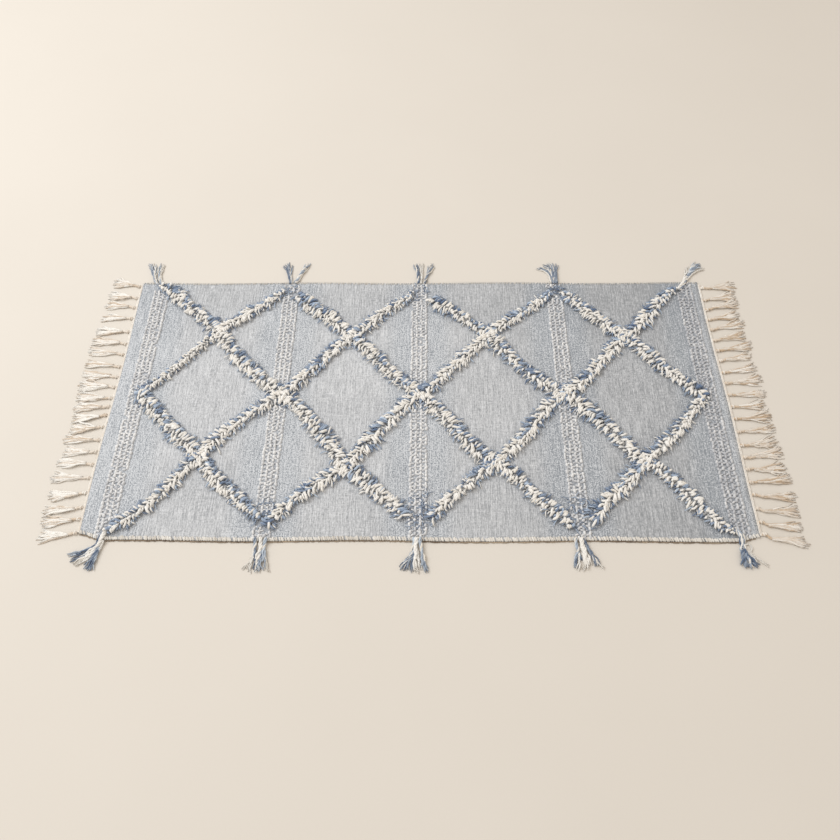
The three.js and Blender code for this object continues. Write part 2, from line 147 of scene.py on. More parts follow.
@dataclass(frozen=True)
class Trace:
    """A smooth line in plan through given points, read by the distance along it.

    Each stretch between two points is cut into some fine steps, and a direction is measured
    from a probe's length before a place to as far after it.
    """

    points: Sequence[Point]
    fine: int = 12
    probe: float = 2.0

    @cached_property
    def line(self) -> np.ndarray:
        """The line as many close points.

        Returns:
            The points in plan, one a row.
        """
        given = np.array(self.points, float)
        padded = np.vstack([2 * given[0] - given[1], given, 2 * given[-1] - given[-2]])
        share = np.linspace(0, 1, self.fine, endpoint=False)[:, None]
        parts = []
        for before, start, end, after in zip(padded, padded[1:], padded[2:], padded[3:]):
            bend = 2 * before - 5 * start + 4 * end - after
            curl = 3 * start - before - 3 * end + after
            parts.append(start + 0.5 * share * ((end - before) + share * (bend + share * curl)))
        return np.vstack([*parts, given[-1]])

    @cached_property
    def reach(self) -> np.ndarray:
        """The distance along the line of each of its close points."""
        steps = np.linalg.norm(np.diff(self.line, axis=0), axis=1)
        return np.concatenate([[0.0], np.cumsum(steps)])

    @property
    def length(self) -> float:
        """The whole length of the line."""
        return float(self.reach[-1])

    def at(self, places: np.ndarray) -> tuple[np.ndarray, np.ndarray]:
        """Reads the line.

        Args:
            places: Distances along the line.

        Returns:
            The points there, and the unit directions there.
        """
        def read(where: np.ndarray) -> np.ndarray:
            """Reads both coordinates at some distances."""
            columns = [np.interp(where, self.reach, self.line[:, axis]) for axis in (0, 1)]
            return np.stack(columns, axis=-1)

        way = read(places + self.probe) - read(places - self.probe)
        return read(places), way / np.linalg.norm(way, axis=-1, keepdims=True)

    def distance(self, spots: np.ndarray) -> np.ndarray:
        """Measures how far spots lie from the line.

        Args:
            spots: Points in plan, one a row.

        Returns:
            The shortest distance of each.
        """
        return np.linalg.norm(spots[:, None, :] - self.line[None, :, :], axis=2).min(axis=1)


# The outline of the cloth, the same as the part's


@dataclass(frozen=True)
class Outline:
    """The cloth's four edges in millimetres, each a little wavy.

    The phases are those of the left, right, front and back edges. The corner draw is how
    deep the front edge is drawn in at the left and at the right corner.
    """

    length: float = 1200.0
    width: float = 600.0
    thickness: float = 3.0
    sway: float = 1.2
    wave: float = 410.0
    phases: tuple[float, float, float, float] = (0.4, 1.9, 3.1, 5.2)
    corner_draw: Point = (12.0, 8.0)
    corner_reach: float = 44.0

    def _stray(self, along: np.ndarray, phase: float) -> np.ndarray:
        """How far an edge strays from straight."""
        return self.sway * np.sin(along / self.wave * FULL_TURN + phase)

    def end_x(self, end: End, y: np.ndarray) -> np.ndarray:
        """X of a short end at some places along Y."""
        phase = self.phases[0] if end is End.LEFT else self.phases[1]
        return end.value * self.length / 2 + self._stray(y, phase)

    def side_y(self, side: Side, x: np.ndarray) -> np.ndarray:
        """Gives Y of a long side, the front one drawn in at its corners.

        Args:
            side: The long side.
            x: Places along X.

        Returns:
            The edge's Y at each place.
        """
        phase = self.phases[2] if side is Side.FRONT else self.phases[3]
        edge = side.value * self.width / 2 + self._stray(x, phase)
        return edge + self._drawn(x) if side is Side.FRONT else edge

    def _drawn(self, x: np.ndarray) -> np.ndarray:
        """Gives how far the front edge is drawn in towards its corners.

        Args:
            x: Places along X.

        Returns:
            The depth at each place, by the left or the right corner's own depth.
        """
        depth = np.where(np.asarray(x) < 0, *self.corner_draw)
        half = self.length / 2
        return depth * smooth_step(half - self.corner_reach, half, np.abs(x))


OUTLINE = Outline()


# Finishes


class NodeSheet:
    """Lays out the nodes of one material."""

    def __init__(self, name: str) -> None:
        """Starts an empty material.

        Args:
            name: The material's name.
        """
        self.material = bpy.data.materials.new(name)
        self.material.use_nodes = True
        self.tree = self.material.node_tree
        self.tree.nodes.clear()

    def add(self, kind: str, sockets: dict | None = None, **settings: object) -> bpy.types.Node:
        """Adds one node.

        Args:
            kind: The node's type, without its Shader Node prefix.
            sockets: A value or another node's output for each named or numbered input.
            **settings: The node's own settings.

        Returns:
            The new node.
        """
        node = self.tree.nodes.new(f"ShaderNode{kind}")
        for key, value in settings.items():
            setattr(node, key, value)
        for key, value in (sockets or {}).items():
            if isinstance(value, bpy.types.NodeSocket):
                self.tree.links.new(value, node.inputs[key])
            else:
                node.inputs[key].default_value = value
        return node

    def maths(self, operation: str, *values: object) -> bpy.types.NodeSocket:
        """Adds a Math node and gives its output."""
        node = self.add("Math", dict(enumerate(values)), operation=operation)
        return node.outputs[0]

    def mix(self, share: object, first: object, second: object) -> bpy.types.NodeSocket:
        """Adds a colour Mix node and gives its output."""
        node = self.add("Mix", {0: share, 6: first, 7: second}, data_type="RGBA")
        return node.outputs[2]

    def attribute(self, name: str) -> bpy.types.NodeSocket:
        """Reads a number stored on the mesh."""
        return self.add("Attribute", attribute_name=name).outputs["Fac"]

    def grain(self, vector: object, scale: float, detail: float = 2.0) -> bpy.types.NodeSocket:
        """Adds a noise pattern and gives its grey value."""
        node = self.add("TexNoise", {"Vector": vector, "Scale": scale, "Detail": detail})
        return node.outputs[0]

    def threads(self, vector: object, scale: Triple, detail: float = 2.0) -> bpy.types.NodeSocket:
        """Adds a noise pattern with its own scale each way, so that it runs as threads do."""
        stretched = self.add("Mapping", {"Vector": vector, "Scale": scale}).outputs[0]
        return self.grain(stretched, 1.0, detail)

    def finish(self, colour: object, height: object, relief: float, roughness: float,
               sheen: float) -> bpy.types.Material:
        """Adds the surface.

        Args:
            colour: The output that gives its colour.
            height: The output that gives its relief.
            relief: How deep the relief is, in metres.
            roughness: The surface's roughness.
            sheen: How much soft fuzz catches the light.

        Returns:
            The finished material.
        """
        bump = self.add("Bump", {"Strength": 1.0, "Distance": relief, "Height": height})
        surface = self.add("BsdfPrincipled", {
            "Base Color": colour,
            "Roughness": roughness,
            "Sheen Weight": sheen,
            "Sheen Roughness": 0.6,
            "Specular IOR Level": 0.25,
            "Normal": bump.outputs[0],
        })
        output = self.add("OutputMaterial", {"Surface": surface.outputs[0]})
        output.is_active_output = True
        return self.material


def rgba(colour: Colour) -> tuple[float, float, float, float]:
    """Adds the alpha that colour sockets want."""
    return (*colour, 1.0)


@dataclass(frozen=True)
class Shades:
    """A yarn's colour where the dye took deep and where it stayed pale."""

    deep: Colour
    pale: Colour


@dataclass(frozen=True)
class YarnFinish:
    """Soft plied yarn: fibres run round it at a slant, and each strand has its own tone.

    The other shades are those of strands with the second dye, and the root shade is a painted
    shade that darkens a strand towards its root, where the locks crowd, up to the root shade
    reach.
    """

    name: str
    shades: Shades
    other: Shades | None = None
    root_shade: Colour | None = None
    root_shade_reach: float = 0.32
    roughness: float = 0.92
    sheen: float = 0.4
    relief: float = 0.0005
    fibres: int = 9
    slant: float = 26.0

    def material(self) -> bpy.types.Material:
        """Builds the yarn's material from its strands' own coordinates.

        Returns:
            The material.
        """
        sheet = NodeSheet(self.name)
        uv = sheet.add("UVMap", uv_map="strand").outputs[0]
        split = sheet.add("SeparateXYZ", {0: uv})
        along, around = split.outputs[0], split.outputs[1]
        turn = sheet.maths("MULTIPLY", around, FULL_TURN * self.fibres)
        phase = sheet.maths("MULTIPLY_ADD", along, self.slant, turn)
        fibre = sheet.maths("SINE", phase)
        place = sheet.add("TexCoord").outputs["Object"]
        fuzz = sheet.grain(place, 1400.0, 3.0)
        patch = sheet.grain(place, 160.0, 2.0)
        tone = sheet.attribute("tone")
        worn = sheet.maths("MULTIPLY_ADD", sheet.maths("SUBTRACT", patch, 0.5), 0.5, tone)
        level = sheet.maths("MULTIPLY_ADD", sheet.maths("SUBTRACT", fuzz, 0.5), 0.5, worn)
        colour = self._dyed(sheet, self.shades, level)
        if self.other:
            second = self._dyed(sheet, self.other, level)
            colour = sheet.mix(sheet.attribute("dye"), colour, second)
        # Painted shade: each strand darkens towards its root, where the locks crowd together.
        if self.root_shade:
            depth = {0: along, 1: 0.0, 2: self.root_shade_reach, 3: 0.85, 4: 0.0}
            colour = sheet.mix(sheet.add("MapRange", depth).outputs[0], colour, rgba(self.root_shade))
        height = sheet.maths("MULTIPLY_ADD", fibre, 0.25, fuzz)
        return sheet.finish(colour, height, self.relief, self.roughness, self.sheen)

    @staticmethod
    def _dyed(sheet: NodeSheet, shades: Shades, level: object) -> bpy.types.NodeSocket:
        """Mixes one yarn's deep and pale colours."""
        clamped = sheet.add("Clamp", {"Value": level}).outputs[0]
        return sheet.mix(clamped, rgba(shades.deep), rgba(shades.pale))


@dataclass(frozen=True)
class WeaveFinish:
    """Weft-faced flat weave: slubby threads run along Y, bluer beside the textured bands.

    The scales are how many times each pattern repeats in a metre, and the swings are how far
    it moves the yarn's shade from the plain one. Crossing threads show in patches only.
    """

    name: str
    thread: Shades
    bluing: Shades
    gap_shade: Colour
    roughness: float = 0.93
    sheen: float = 0.2
    relief: float = 0.0007
    weft_pitch: float = 2.6 * MM
    warp_pitch: float = 3.0 * MM
    streak_scale: Triple = (560.0, 130.0, 1.0)
    cross_scale: Triple = (62.0, 330.0, 1.0)
    slub_scale: Triple = (430.0, 22.0, 1.0)
    fleck_scale: Triple = (470.0, 400.0, 1.0)
    pit_scale: Triple = (260.0, 190.0, 1.0)
    cloud_scale: float = 8.0
    patch_scale: float = 26.0
    plain_shade: float = 0.615
    streak_swing: float = 1.4
    slub_swing: float = 1.45
    cloud_swing: float = 0.33

    def material(self) -> bpy.types.Material:
        """Builds the weave from the cloth's own coordinates.

        Returns:
            The material.
        """
        sheet = NodeSheet(self.name)
        place = sheet.add("TexCoord").outputs["Object"]
        split = sheet.add("SeparateXYZ", {0: place})
        streak = sheet.threads(place, self.streak_scale)
        cross = sheet.threads(place, self.cross_scale)
        slub = sheet.threads(place, self.slub_scale)
        fleck = sheet.threads(place, self.fleck_scale, 1.0)
        cloud = sheet.grain(place, self.cloud_scale)
        blotch = sheet.grain(place, self.patch_scale, 1.0)
        patch = sheet.add("MapRange", {0: blotch, 1: 0.42, 2: 0.62}).outputs[0]
        blue = sheet.attribute("bluing")
        level = self._swing(sheet, streak, self.streak_swing, self.plain_shade)
        level = self._swing(sheet, cross, sheet.maths("MULTIPLY_ADD", patch, 0.7, 0.2), level)
        level = self._swing(sheet, slub, self.slub_swing, level)
        level = self._swing(sheet, fleck, sheet.maths("MULTIPLY_ADD", blue, 2.0, 0.8), level)
        level = self._swing(sheet, cloud, self.cloud_swing, level)
        # Painted shade: the cloth darkens towards the right and towards the long edges, the back
        # more.
        level = sheet.maths("MULTIPLY_ADD", sheet.attribute("falloff_shade"), -0.6, level)
        level = sheet.add("Clamp", {"Value": level}).outputs[0]
        plain = sheet.mix(level, rgba(self.thread.deep), rgba(self.thread.pale))
        bluer = sheet.mix(level, rgba(self.bluing.deep), rgba(self.bluing.pale))
        colour = sheet.mix(blue, plain, bluer)
        # Painted shade on the cloth between the band stitches.
        colour = sheet.mix(sheet.attribute("stitch_gap_shade"), colour, rgba(self.gap_shade))
        # Painted shade in small pits of the weave.
        pits = sheet.threads(place, self.pit_scale, 0.0)
        pit_shade = sheet.add("MapRange", {0: pits, 1: 0.27, 2: 0.20, 3: 0.0, 4: 0.45}).outputs[0]
        colour = sheet.mix(pit_shade, colour, rgba(self.gap_shade))
        weft = self._rib(sheet, split.outputs[0], self.weft_pitch)
        warp = self._rib(sheet, split.outputs[1], self.warp_pitch)
        ribs = sheet.maths("MULTIPLY", weft, sheet.maths("MULTIPLY_ADD", warp, 0.6, 0.4))
        height = sheet.maths("MULTIPLY_ADD", streak, 0.6, sheet.maths("MULTIPLY", ribs, 0.45))
        height = self._swing(sheet, cross, sheet.maths("MULTIPLY", patch, 0.8), height)
        height = sheet.maths("MULTIPLY_ADD", fleck, 0.9, height)
        return sheet.finish(colour, height, self.relief, self.roughness, self.sheen)

    @staticmethod
    def _swing(sheet: NodeSheet, pattern: object, amount: object,
               level: object) -> bpy.types.NodeSocket:
        """Adds a pattern's swing about its middle to a level."""
        return sheet.maths("MULTIPLY_ADD", sheet.maths("SUBTRACT", pattern, 0.5), amount, level)

    @staticmethod
    def _rib(sheet: NodeSheet, along: object, pitch: float) -> bpy.types.NodeSocket:
        """Makes rounded ribs of one pitch."""
        wave = sheet.maths("SINE", sheet.maths("MULTIPLY", along, math.pi / pitch))
        return sheet.maths("ABSOLUTE", wave)


@dataclass(frozen=True)
class FloorFinish:
    """A plain pale floor, very slightly mottled."""

    name: str = "pale_floor"
    shades: Shades = Shades((0.715, 0.678, 0.625), (0.75, 0.713, 0.66))

    def material(self) -> bpy.types.Material:
        """Builds the floor's material.

        Returns:
            The material.
        """
        sheet = NodeSheet(self.name)
        place = sheet.add("TexCoord").outputs["Object"]
        cloud = sheet.grain(place, 2.5, 4.0)
        colour = sheet.mix(cloud, rgba(self.shades.deep), rgba(self.shades.pale))
        return sheet.finish(colour, sheet.grain(place, 300.0), 0.0001, 0.85, 0.0)


CREAM_SHADES = Shades((0.86, 0.82, 0.75), (1.0, 0.99, 0.965))
# Painted shade mixed into the cream locks at their roots.
CREAM_ROOT_SHADE = (0.30, 0.33, 0.39)
BLUE_SHADES = Shades((0.10, 0.165, 0.30), (0.60, 0.72, 0.88))
# Knot ridge greys: partly the knots' own, partly painted shade for the gaps between locks.
ROOT_AND_GAP_SHADES = Shades((0.30, 0.33, 0.38), (0.72, 0.72, 0.71))
TASSEL_BLUE_SHADES = Shades((0.08, 0.13, 0.23), (0.72, 0.82, 0.93))
STITCH_SHADES = Shades((0.50, 0.52, 0.56), (0.85, 0.86, 0.875))
EDGE_SHADES = Shades((0.60, 0.56, 0.50), (0.86, 0.84, 0.80))
# Dark brown for the front edge's underside and its painted shadow, and for the painted shade of
# the fringe ties.
BINDING_AND_SHADOW_SHADES = Shades((0.15, 0.095, 0.055), (0.55, 0.44, 0.31))
COTTON_SHADES = Shades((0.62, 0.47, 0.32), (1.0, 0.985, 0.95))


class Finishes:
    """Every finish of the rug, each built once."""

    def __init__(self) -> None:
        """Builds the materials."""
        self.weave = WeaveFinish(
            "ground_weave",
            Shades((0.29, 0.308, 0.333), (0.715, 0.741, 0.78)),
            Shades((0.245, 0.275, 0.315), (0.675, 0.71, 0.757)),
            # The colour of the painted shade between stitches and in pits.
            (0.30, 0.32, 0.36),
        ).material()
        self.cream = YarnFinish("cream_yarn", CREAM_SHADES, root_shade=CREAM_ROOT_SHADE).material()
        self.blue = YarnFinish("blue_yarn", BLUE_SHADES).material()
        self.root = YarnFinish("root_yarn", ROOT_AND_GAP_SHADES).material()
        self.tassel = YarnFinish("tassel_yarn", CREAM_SHADES, TASSEL_BLUE_SHADES).material()
        self.stitch = YarnFinish("stitch_yarn", STITCH_SHADES, relief=0.0003).material()
        self.edge = YarnFinish("edge_yarn", EDGE_SHADES, relief=0.0003).material()
        self.binding_and_shadow = YarnFinish("binding_and_shadow_yarn", BINDING_AND_SHADOW_SHADES, relief=0.0003).material()
        self.cotton = YarnFinish(
            "fringe_cotton", COTTON_SHADES, sheen=0.6, relief=0.0003).material()


# Strands: one straight piece of yarn, laid along many routes at once


@dataclass(frozen=True)
class StrandForm:
    """A straight strand of plied yarn, laid along many routes as one joined mesh."""

    sides: int
    rings: int
    plies: int = 2
    groove: float = 0.3
    turns_per_metre: float = 45.0

    def _straight(self) -> bmesh.types.BMesh:
        """Makes the closed straight strand from a capped cylinder cut into rings.

        Returns:
            The strand from Z 0 to 1, its half thickness 1.
        """
        bm = bmesh.new()
        bmesh.ops.create_cone(
            bm, cap_ends=True, segments=self.sides, radius1=1.0, radius2=1.0, depth=1.0)
        bmesh.ops.translate(bm, vec=(0.0, 0.0, 0.5), verts=bm.verts)
        runs = [e for e in bm.edges if abs(e.verts[0].co.z - e.verts[1].co.z) > 0.5]
        bmesh.ops.subdivide_edges(bm, edges=runs, cuts=self.rings - 2)
        bm.verts.index_update()
        return bm

    @cached_property
    def _pattern(self) -> dict[str, np.ndarray]:
        """The straight strand as arrays, ready to be repeated for every route.

        Returns:
            Each point's ring and angle, the points of each face's corners, where each face
            starts among the corners, and each corner's share of a turn.
        """
        bm = self._straight()
        spots = np.array([v.co for v in bm.verts])
        angle = np.arctan2(spots[:, 1], spots[:, 0])
        corners, starts, turns = [], [], []
        for face in bm.faces:
            starts.append(len(corners))
            first = angle[face.verts[0].index] / FULL_TURN
            for vert in face.verts:
                turn = angle[vert.index] / FULL_TURN
                turns.append(turn - round(turn - first))
                corners.append(vert.index)
        bm.free()
        return {
            "ring": np.rint(spots[:, 2] * (self.rings - 1)).astype(int),
            "angle": angle,
            "corners": np.array(corners),
            "starts": np.array(starts),
            "turns": np.array(turns),
        }

    def swell(self, places: Sequence[float], sizes: Sequence[float]) -> np.ndarray:
        """Gives a strand's thickness at each ring, from its sizes at some shares of its length."""
        return np.interp(np.linspace(0, 1, self.rings), places, sizes)

    @staticmethod
    def _frames(way: np.ndarray) -> tuple[np.ndarray, np.ndarray]:
        """Carries a pair of cross directions along each route without twisting.

        Args:
            way: Unit directions, by strand and by ring.

        Returns:
            The directions to the right and up, by strand and by ring.
        """
        steep = np.abs(way[:, 0, 2:3]) > 0.9
        start = np.where(steep, np.array([[0.0, 1.0, 0.0]]), np.array([[0.0, 0.0, 1.0]]))
        ups = np.empty_like(way)
        for ring in range(way.shape[1]):
            heading = way[:, ring]
            start = start - (start * heading).sum(axis=1, keepdims=True) * heading
            start = start / np.linalg.norm(start, axis=1, keepdims=True)
            ups[:, ring] = start
        return np.cross(ups, way), ups

    def lay(self, name: str, routes: np.ndarray, radii: np.ndarray,
            marks: dict[str, np.ndarray]) -> bpy.types.Object:
        """Lays the strand along every route.

        Args:
            name: The new piece's name.
            routes: Points in millimetres, by strand and by ring.
            radii: Half thicknesses in millimetres, by strand and by ring.
            marks: Named numbers stored on the mesh, one for each strand.

        Returns:
            The joined piece, its place in its mesh.
        """
        pattern = self._pattern
        ring, angle = pattern["ring"], pattern["angle"]
        count, size = len(routes), len(ring)
        way = np.gradient(routes, axis=1)
        way = way / np.linalg.norm(way, axis=2, keepdims=True)
        rights, ups = self._frames(way)
        steps = np.linalg.norm(np.diff(routes, axis=1), axis=2)
        reach = np.concatenate([np.zeros((count, 1)), np.cumsum(steps, axis=1)], axis=1)
        turned = angle[None, :] + FULL_TURN * self.turns_per_metre * MM * reach[:, ring]
        relief = 1 - self.groove * (0.5 - 0.5 * np.cos(self.plies * angle))
        spread = (radii[:, ring] * relief)[..., None]
        around = np.cos(turned)[..., None] * rights[:, ring]
        around = around + np.sin(turned)[..., None] * ups[:, ring]
        spots = (routes[:, ring] + spread * around) * MM
        step = np.arange(count)[:, None]
        corners = (pattern["corners"][None, :] + step * size).ravel()
        starts = (pattern["starts"][None, :] + step * len(pattern["corners"])).ravel()
        mesh = bpy.data.meshes.new(name)
        mesh.vertices.add(count * size)
        mesh.vertices.foreach_set("co", spots.astype(np.float32).ravel())
        mesh.loops.add(len(corners))
        mesh.loops.foreach_set("vertex_index", corners.astype(np.int32))
        mesh.polygons.add(len(starts))
        mesh.polygons.foreach_set("loop_start", starts.astype(np.int32))
        mesh.polygons.foreach_set("use_smooth", np.ones(len(starts), bool))
        mesh.update(calc_edges=True)
        along = reach[:, ring][:, pattern["corners"]] * 0.1
        turns = np.broadcast_to(pattern["turns"], along.shape)
        uv = np.stack([along, turns], axis=-1).astype(np.float32)
        mesh.uv_layers.new(name="strand").uv.foreach_set("vector", uv.ravel())
        for mark, values in marks.items():
            stored = mesh.attributes.new(mark, "FLOAT", "POINT")
            stored.data.foreach_set("value", np.repeat(values, size).astype(np.float32))
        piece = bpy.data.objects.new(name, mesh)
        bpy.context.scene.collection.objects.link(piece)
        return piece


def between(points: Sequence[np.ndarray], rings: int) -> np.ndarray:
    """Runs a smooth curve through a few control points of many strands.

    Args:
        points: Control points, each an array with one row for each strand.
        rings: How many points each curve has.

    Returns:
        The curves, by strand and by ring.
    """
    given = np.stack(points, axis=1)
    ahead = 2 * given[:, :1] - given[:, 1:2]
    beyond = 2 * given[:, -1:] - given[:, -2:-1]
    padded = np.concatenate([ahead, given, beyond], axis=1)
    spans = given.shape[1] - 1
    place = np.linspace(0, spans, rings)
    first = np.minimum(place.astype(int), spans - 1)
    share = (place - first)[None, :, None]
    before, start, end, after = (padded[:, first + shift] for shift in range(4))
    bend = 2 * before - 5 * start + 4 * end - after
    curl = 3 * start - before - 3 * end + after
    return start + 0.5 * share * ((end - before) + share * (bend + share * curl))


def raised(plan: Sequence[np.ndarray], heights: Sequence[np.ndarray], rings: int) -> np.ndarray:
    """Runs a smooth curve through a few plan points at their own heights.

    Args:
        plan: Control points in plan, each an array with one row for each strand.
        heights: The height of each control point, one number for each strand.
        rings: How many points each curve has.

    Returns:
        The curves, by strand and by ring.
    """
    return between([np.column_stack(pair) for pair in zip(plan, heights)], rings)


def dress(piece: bpy.types.Object, finish: bpy.types.Material,
          nodes: Sequence[str] = ()) -> bpy.types.Object:
    """Gives a piece its material and its body, and hides the CAD nodes that it stands for.

    Args:
        piece: The finished piece.
        finish: Its material.
        nodes: The CAD nodes that it stands for.

    Returns:
        The same piece.
    """
    piece.data.materials.append(finish)
    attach(piece, BODY)
    if nodes:
        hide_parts(*nodes)
    log.info("%s: %d faces", piece.name, len(piece.data.polygons))
    return piece


# The diamond lattice of pile, in the part's order of lines


@dataclass(frozen=True)
class PileLine:
    """One line of cut pile: where it runs and how wide it is from end to end.

    The turn is how many degrees its locks lean further out than the tiers say. The arms are
    how many CAD nodes a line has that is broken at each crossing; a whole line has none. A
    narrowed end thins over the taper, down to the thinnest share of its width.
    """

    name: str
    way: Sequence[Point]
    widths: Sequence[float]
    turn: float = 0.0
    arms: int = 0
    narrow_start: bool = False
    narrow_end: bool = False
    taper: float = 34.0
    thinnest: float = 0.45

    @property
    def nodes(self) -> tuple[str, ...]:
        """The CAD nodes that the line stands for."""
        whole = f"pile_{self.name}"
        return tuple(f"{whole}_{arm + 1}" for arm in range(self.arms)) or (whole,)

    @cached_property
    def trace(self) -> Trace:
        """The line in plan."""
        return Trace(self.way)

    def width_at(self, places: np.ndarray) -> np.ndarray:
        """Gives the line's width, a little uneven and narrowed towards the ends that thin out.

        Args:
            places: Distances along the line.

        Returns:
            The width at each place, 1 where it is the usual one.
        """
        length = self.trace.length
        full = np.interp(places, np.linspace(0, length, len(self.widths)), self.widths)
        start = smooth_step(0, self.taper, places) if self.narrow_start else 1.0
        end = smooth_step(0, self.taper, length - places) if self.narrow_end else 1.0
        first, second = self.way[0]
        uneven = np.sin(places / 12.0 + first) * np.sin(places / 29.0 + second)
        narrowed = self.thinnest + (1 - self.thinnest) * np.minimum(start, end)
        return full * (0.94 + 0.16 * uneven) * narrowed


# Degrees that the locks of the falling lines lean further out than those of the rising ones
OUTWARD = 28.0

PILE_LINES = (
    PileLine("falling_1", (
        (-552, 8), (-528, -15), (-497, -48), (-470, -78), (-439, -107), (-410, -134),
        (-384, -172), (-357, -198), (-333, -216), (-311, -236), (-285, -262),
    ), (0.95, 1.05, 0.95, 0.9), OUTWARD, narrow_end=True),
    PileLine("falling_2", (
        (-562, 288), (-533, 273), (-504, 244), (-476, 219), (-447, 193), (-418, 166),
        (-399, 135), (-373, 100), (-341, 67), (-308, 36), (-271, 6), (-233, -23),
        (-206, -61), (-174, -97), (-163, -121), (-137, -154), (-101, -183), (-70, -214),
        (-41, -237), (-27, -257),
    ), (1.2, 0.95, 1.0, 1.1, 1.0, 0.95, 1.1, 1.0, 1.05), OUTWARD, narrow_start=True),
    PileLine("falling_3", (
        (-263, 262), (-234, 236), (-204, 211), (-177, 185), (-149, 158), (-106, 115),
        (-72, 77), (-40, 40), (-1, 10), (30, -24), (57, -56), (84, -92), (111, -123),
        (145, -149), (180, -178), (205, -208), (231, -235), (255, -256), (270, -277),
    ), (1.05, 1.1, 1.0, 1.0, 1.0, 1.1, 0.85, 1.0), OUTWARD, narrow_end=True),
    PileLine("falling_4", (
        (24, 252), (42, 235), (67, 218), (103, 188), (143, 153), (170, 116), (197, 83),
        (223, 54), (252, 26), (290, 4), (326, -29), (352, -60), (378, -94), (403, -134),
        (450, -167), (477, -201), (501, -236), (526, -265), (553, -287),
    ), (1.1, 0.85, 1.05, 0.95, 1.15, 1.1, 0.9, 0.9, 0.8), OUTWARD, narrow_end=True),
    PileLine("falling_5", (
        (302, 270), (337, 234), (366, 200), (390, 173), (428, 144), (457, 110),
        (484, 74), (518, 40), (557, 1),
    ), (1.0, 1.05, 1.0, 0.95), OUTWARD, narrow_start=True),
    PileLine("rising_1", (
        (-549, 10), (-512, 45), (-487, 74), (-460, 108), (-438, 133), (-416, 163),
        (-388, 187), (-357, 214), (-327, 238), (-303, 259), (-291, 277),
    ), (0.8, 0.6, 0.7, 1.0, 0.95), arms=2, narrow_end=True),
    PileLine("rising_2", (
        (-550, -286), (-526, -267), (-488, -235), (-461, -204), (-441, -172),
        (-409, -133), (-377, -89), (-349, -62), (-318, -34), (-272, 3), (-231, 47),
        (-204, 78), (-174, 114), (-144, 146), (-106, 178), (-76, 213), (-44, 238),
        (-25, 252), (-16, 270),
    ), (0.9, 0.85, 1.0, 0.95, 1.0, 0.9, 0.95, 0.75), arms=4, narrow_start=True, narrow_end=True),
    PileLine("rising_3", (
        (-268, -274), (-248, -248), (-229, -228), (-198, -201), (-165, -177), (-131, -151),
        (-100, -109), (-71, -71), (-39, -35), (-3, 5), (29, 29), (61, 65), (93, 97),
        (121, 130), (153, 162), (185, 191), (222, 216), (249, 239), (267, 255), (281, 273),
    ), (0.8, 1.0, 1.05, 1.1, 0.9, 1.0, 0.95, 0.85), arms=4, narrow_end=True),
    PileLine("rising_4", (
        (23, -259), (41, -237), (76, -204), (109, -174), (145, -146), (177, -114),
        (205, -86), (229, -50), (253, -20), (287, 8), (322, 35), (356, 73), (388, 111),
        (420, 149), (453, 176), (484, 214), (513, 248), (548, 282),
    ), (0.85, 0.85, 1.0, 1.05, 0.95, 0.95, 1.05, 0.9), arms=4, narrow_end=True),
    PileLine("rising_5", (
        (312, -260), (340, -226), (371, -199), (398, -170), (432, -132), (465, -103),
        (498, -69), (528, -33), (559, 1),
    ), (1.05, 1.1, 0.95, 0.8, 0.7), arms=2),
)


@dataclass(frozen=True)
class LockTier:
    """One layer of cut locks, in millimetres and degrees.

    A span is a least and a most. The offset is how far from the line's middle a lock starts,
    and the lean is its angle from the line's way towards the front: 90 stands straight out.
    The heights are those of its root, crest and cut end, and blue is the share of blue locks.
    """

    per_mm: float
    offset: Span
    lean: Span
    length: Span
    radius: Span
    heights: Triple
    blue: float

    def reach(self, draws: np.ndarray, front: np.ndarray) -> np.ndarray:
        """Turns even draws into lock lengths: short with a few long ones on the front side.

        Args:
            draws: Numbers from 0 to 1, one for each lock.
            front: Whether each lock is on the line's front side.

        Returns:
            The length of each lock.
        """
        shortest, longest = self.length
        even = shortest + (longest - shortest) * draws
        tufted = 0.8 * shortest + (1.15 * longest - 0.8 * shortest) * draws ** 1.8
        return np.where(front, tufted, even)


TIERS = (
    LockTier(0.60, (4.5, 10.0), (15.0, 115.0), (9.0, 18.5), (1.0, 1.8), (1.0, 3.0, 0.2), 0.82),
    LockTier(0.40, (2.5, 7.5), (10.0, 100.0), (10.0, 16.5), (1.4, 2.2), (2.2, 4.8, 1.2), 0.42),
    LockTier(0.40, (-4.5, 4.5), (5.0, 78.0), (13.0, 19.5), (2.2, 3.1), (3.2, 6.2, 3.0), 0.02),
)


@dataclass(frozen=True)
class Tangle:
    """Loose blue ends where two lines meet: their middle, how far they spread, their number."""

    middle: Point
    spread: Point
    ends: int


TANGLES = (
    Tangle((-276.0, -252.0), (19.0, 26.0), 24),
    Tangle((-1.0, -246.0), (19.0, 36.0), 40),
    Tangle((288.0, -250.0), (19.0, 34.0), 40),
    Tangle((-276.0, 272.0), (19.0, 16.0), 16),
    Tangle((-1.0, 270.0), (19.0, 18.0), 20),
    Tangle((288.0, 270.0), (19.0, 18.0), 22),
)


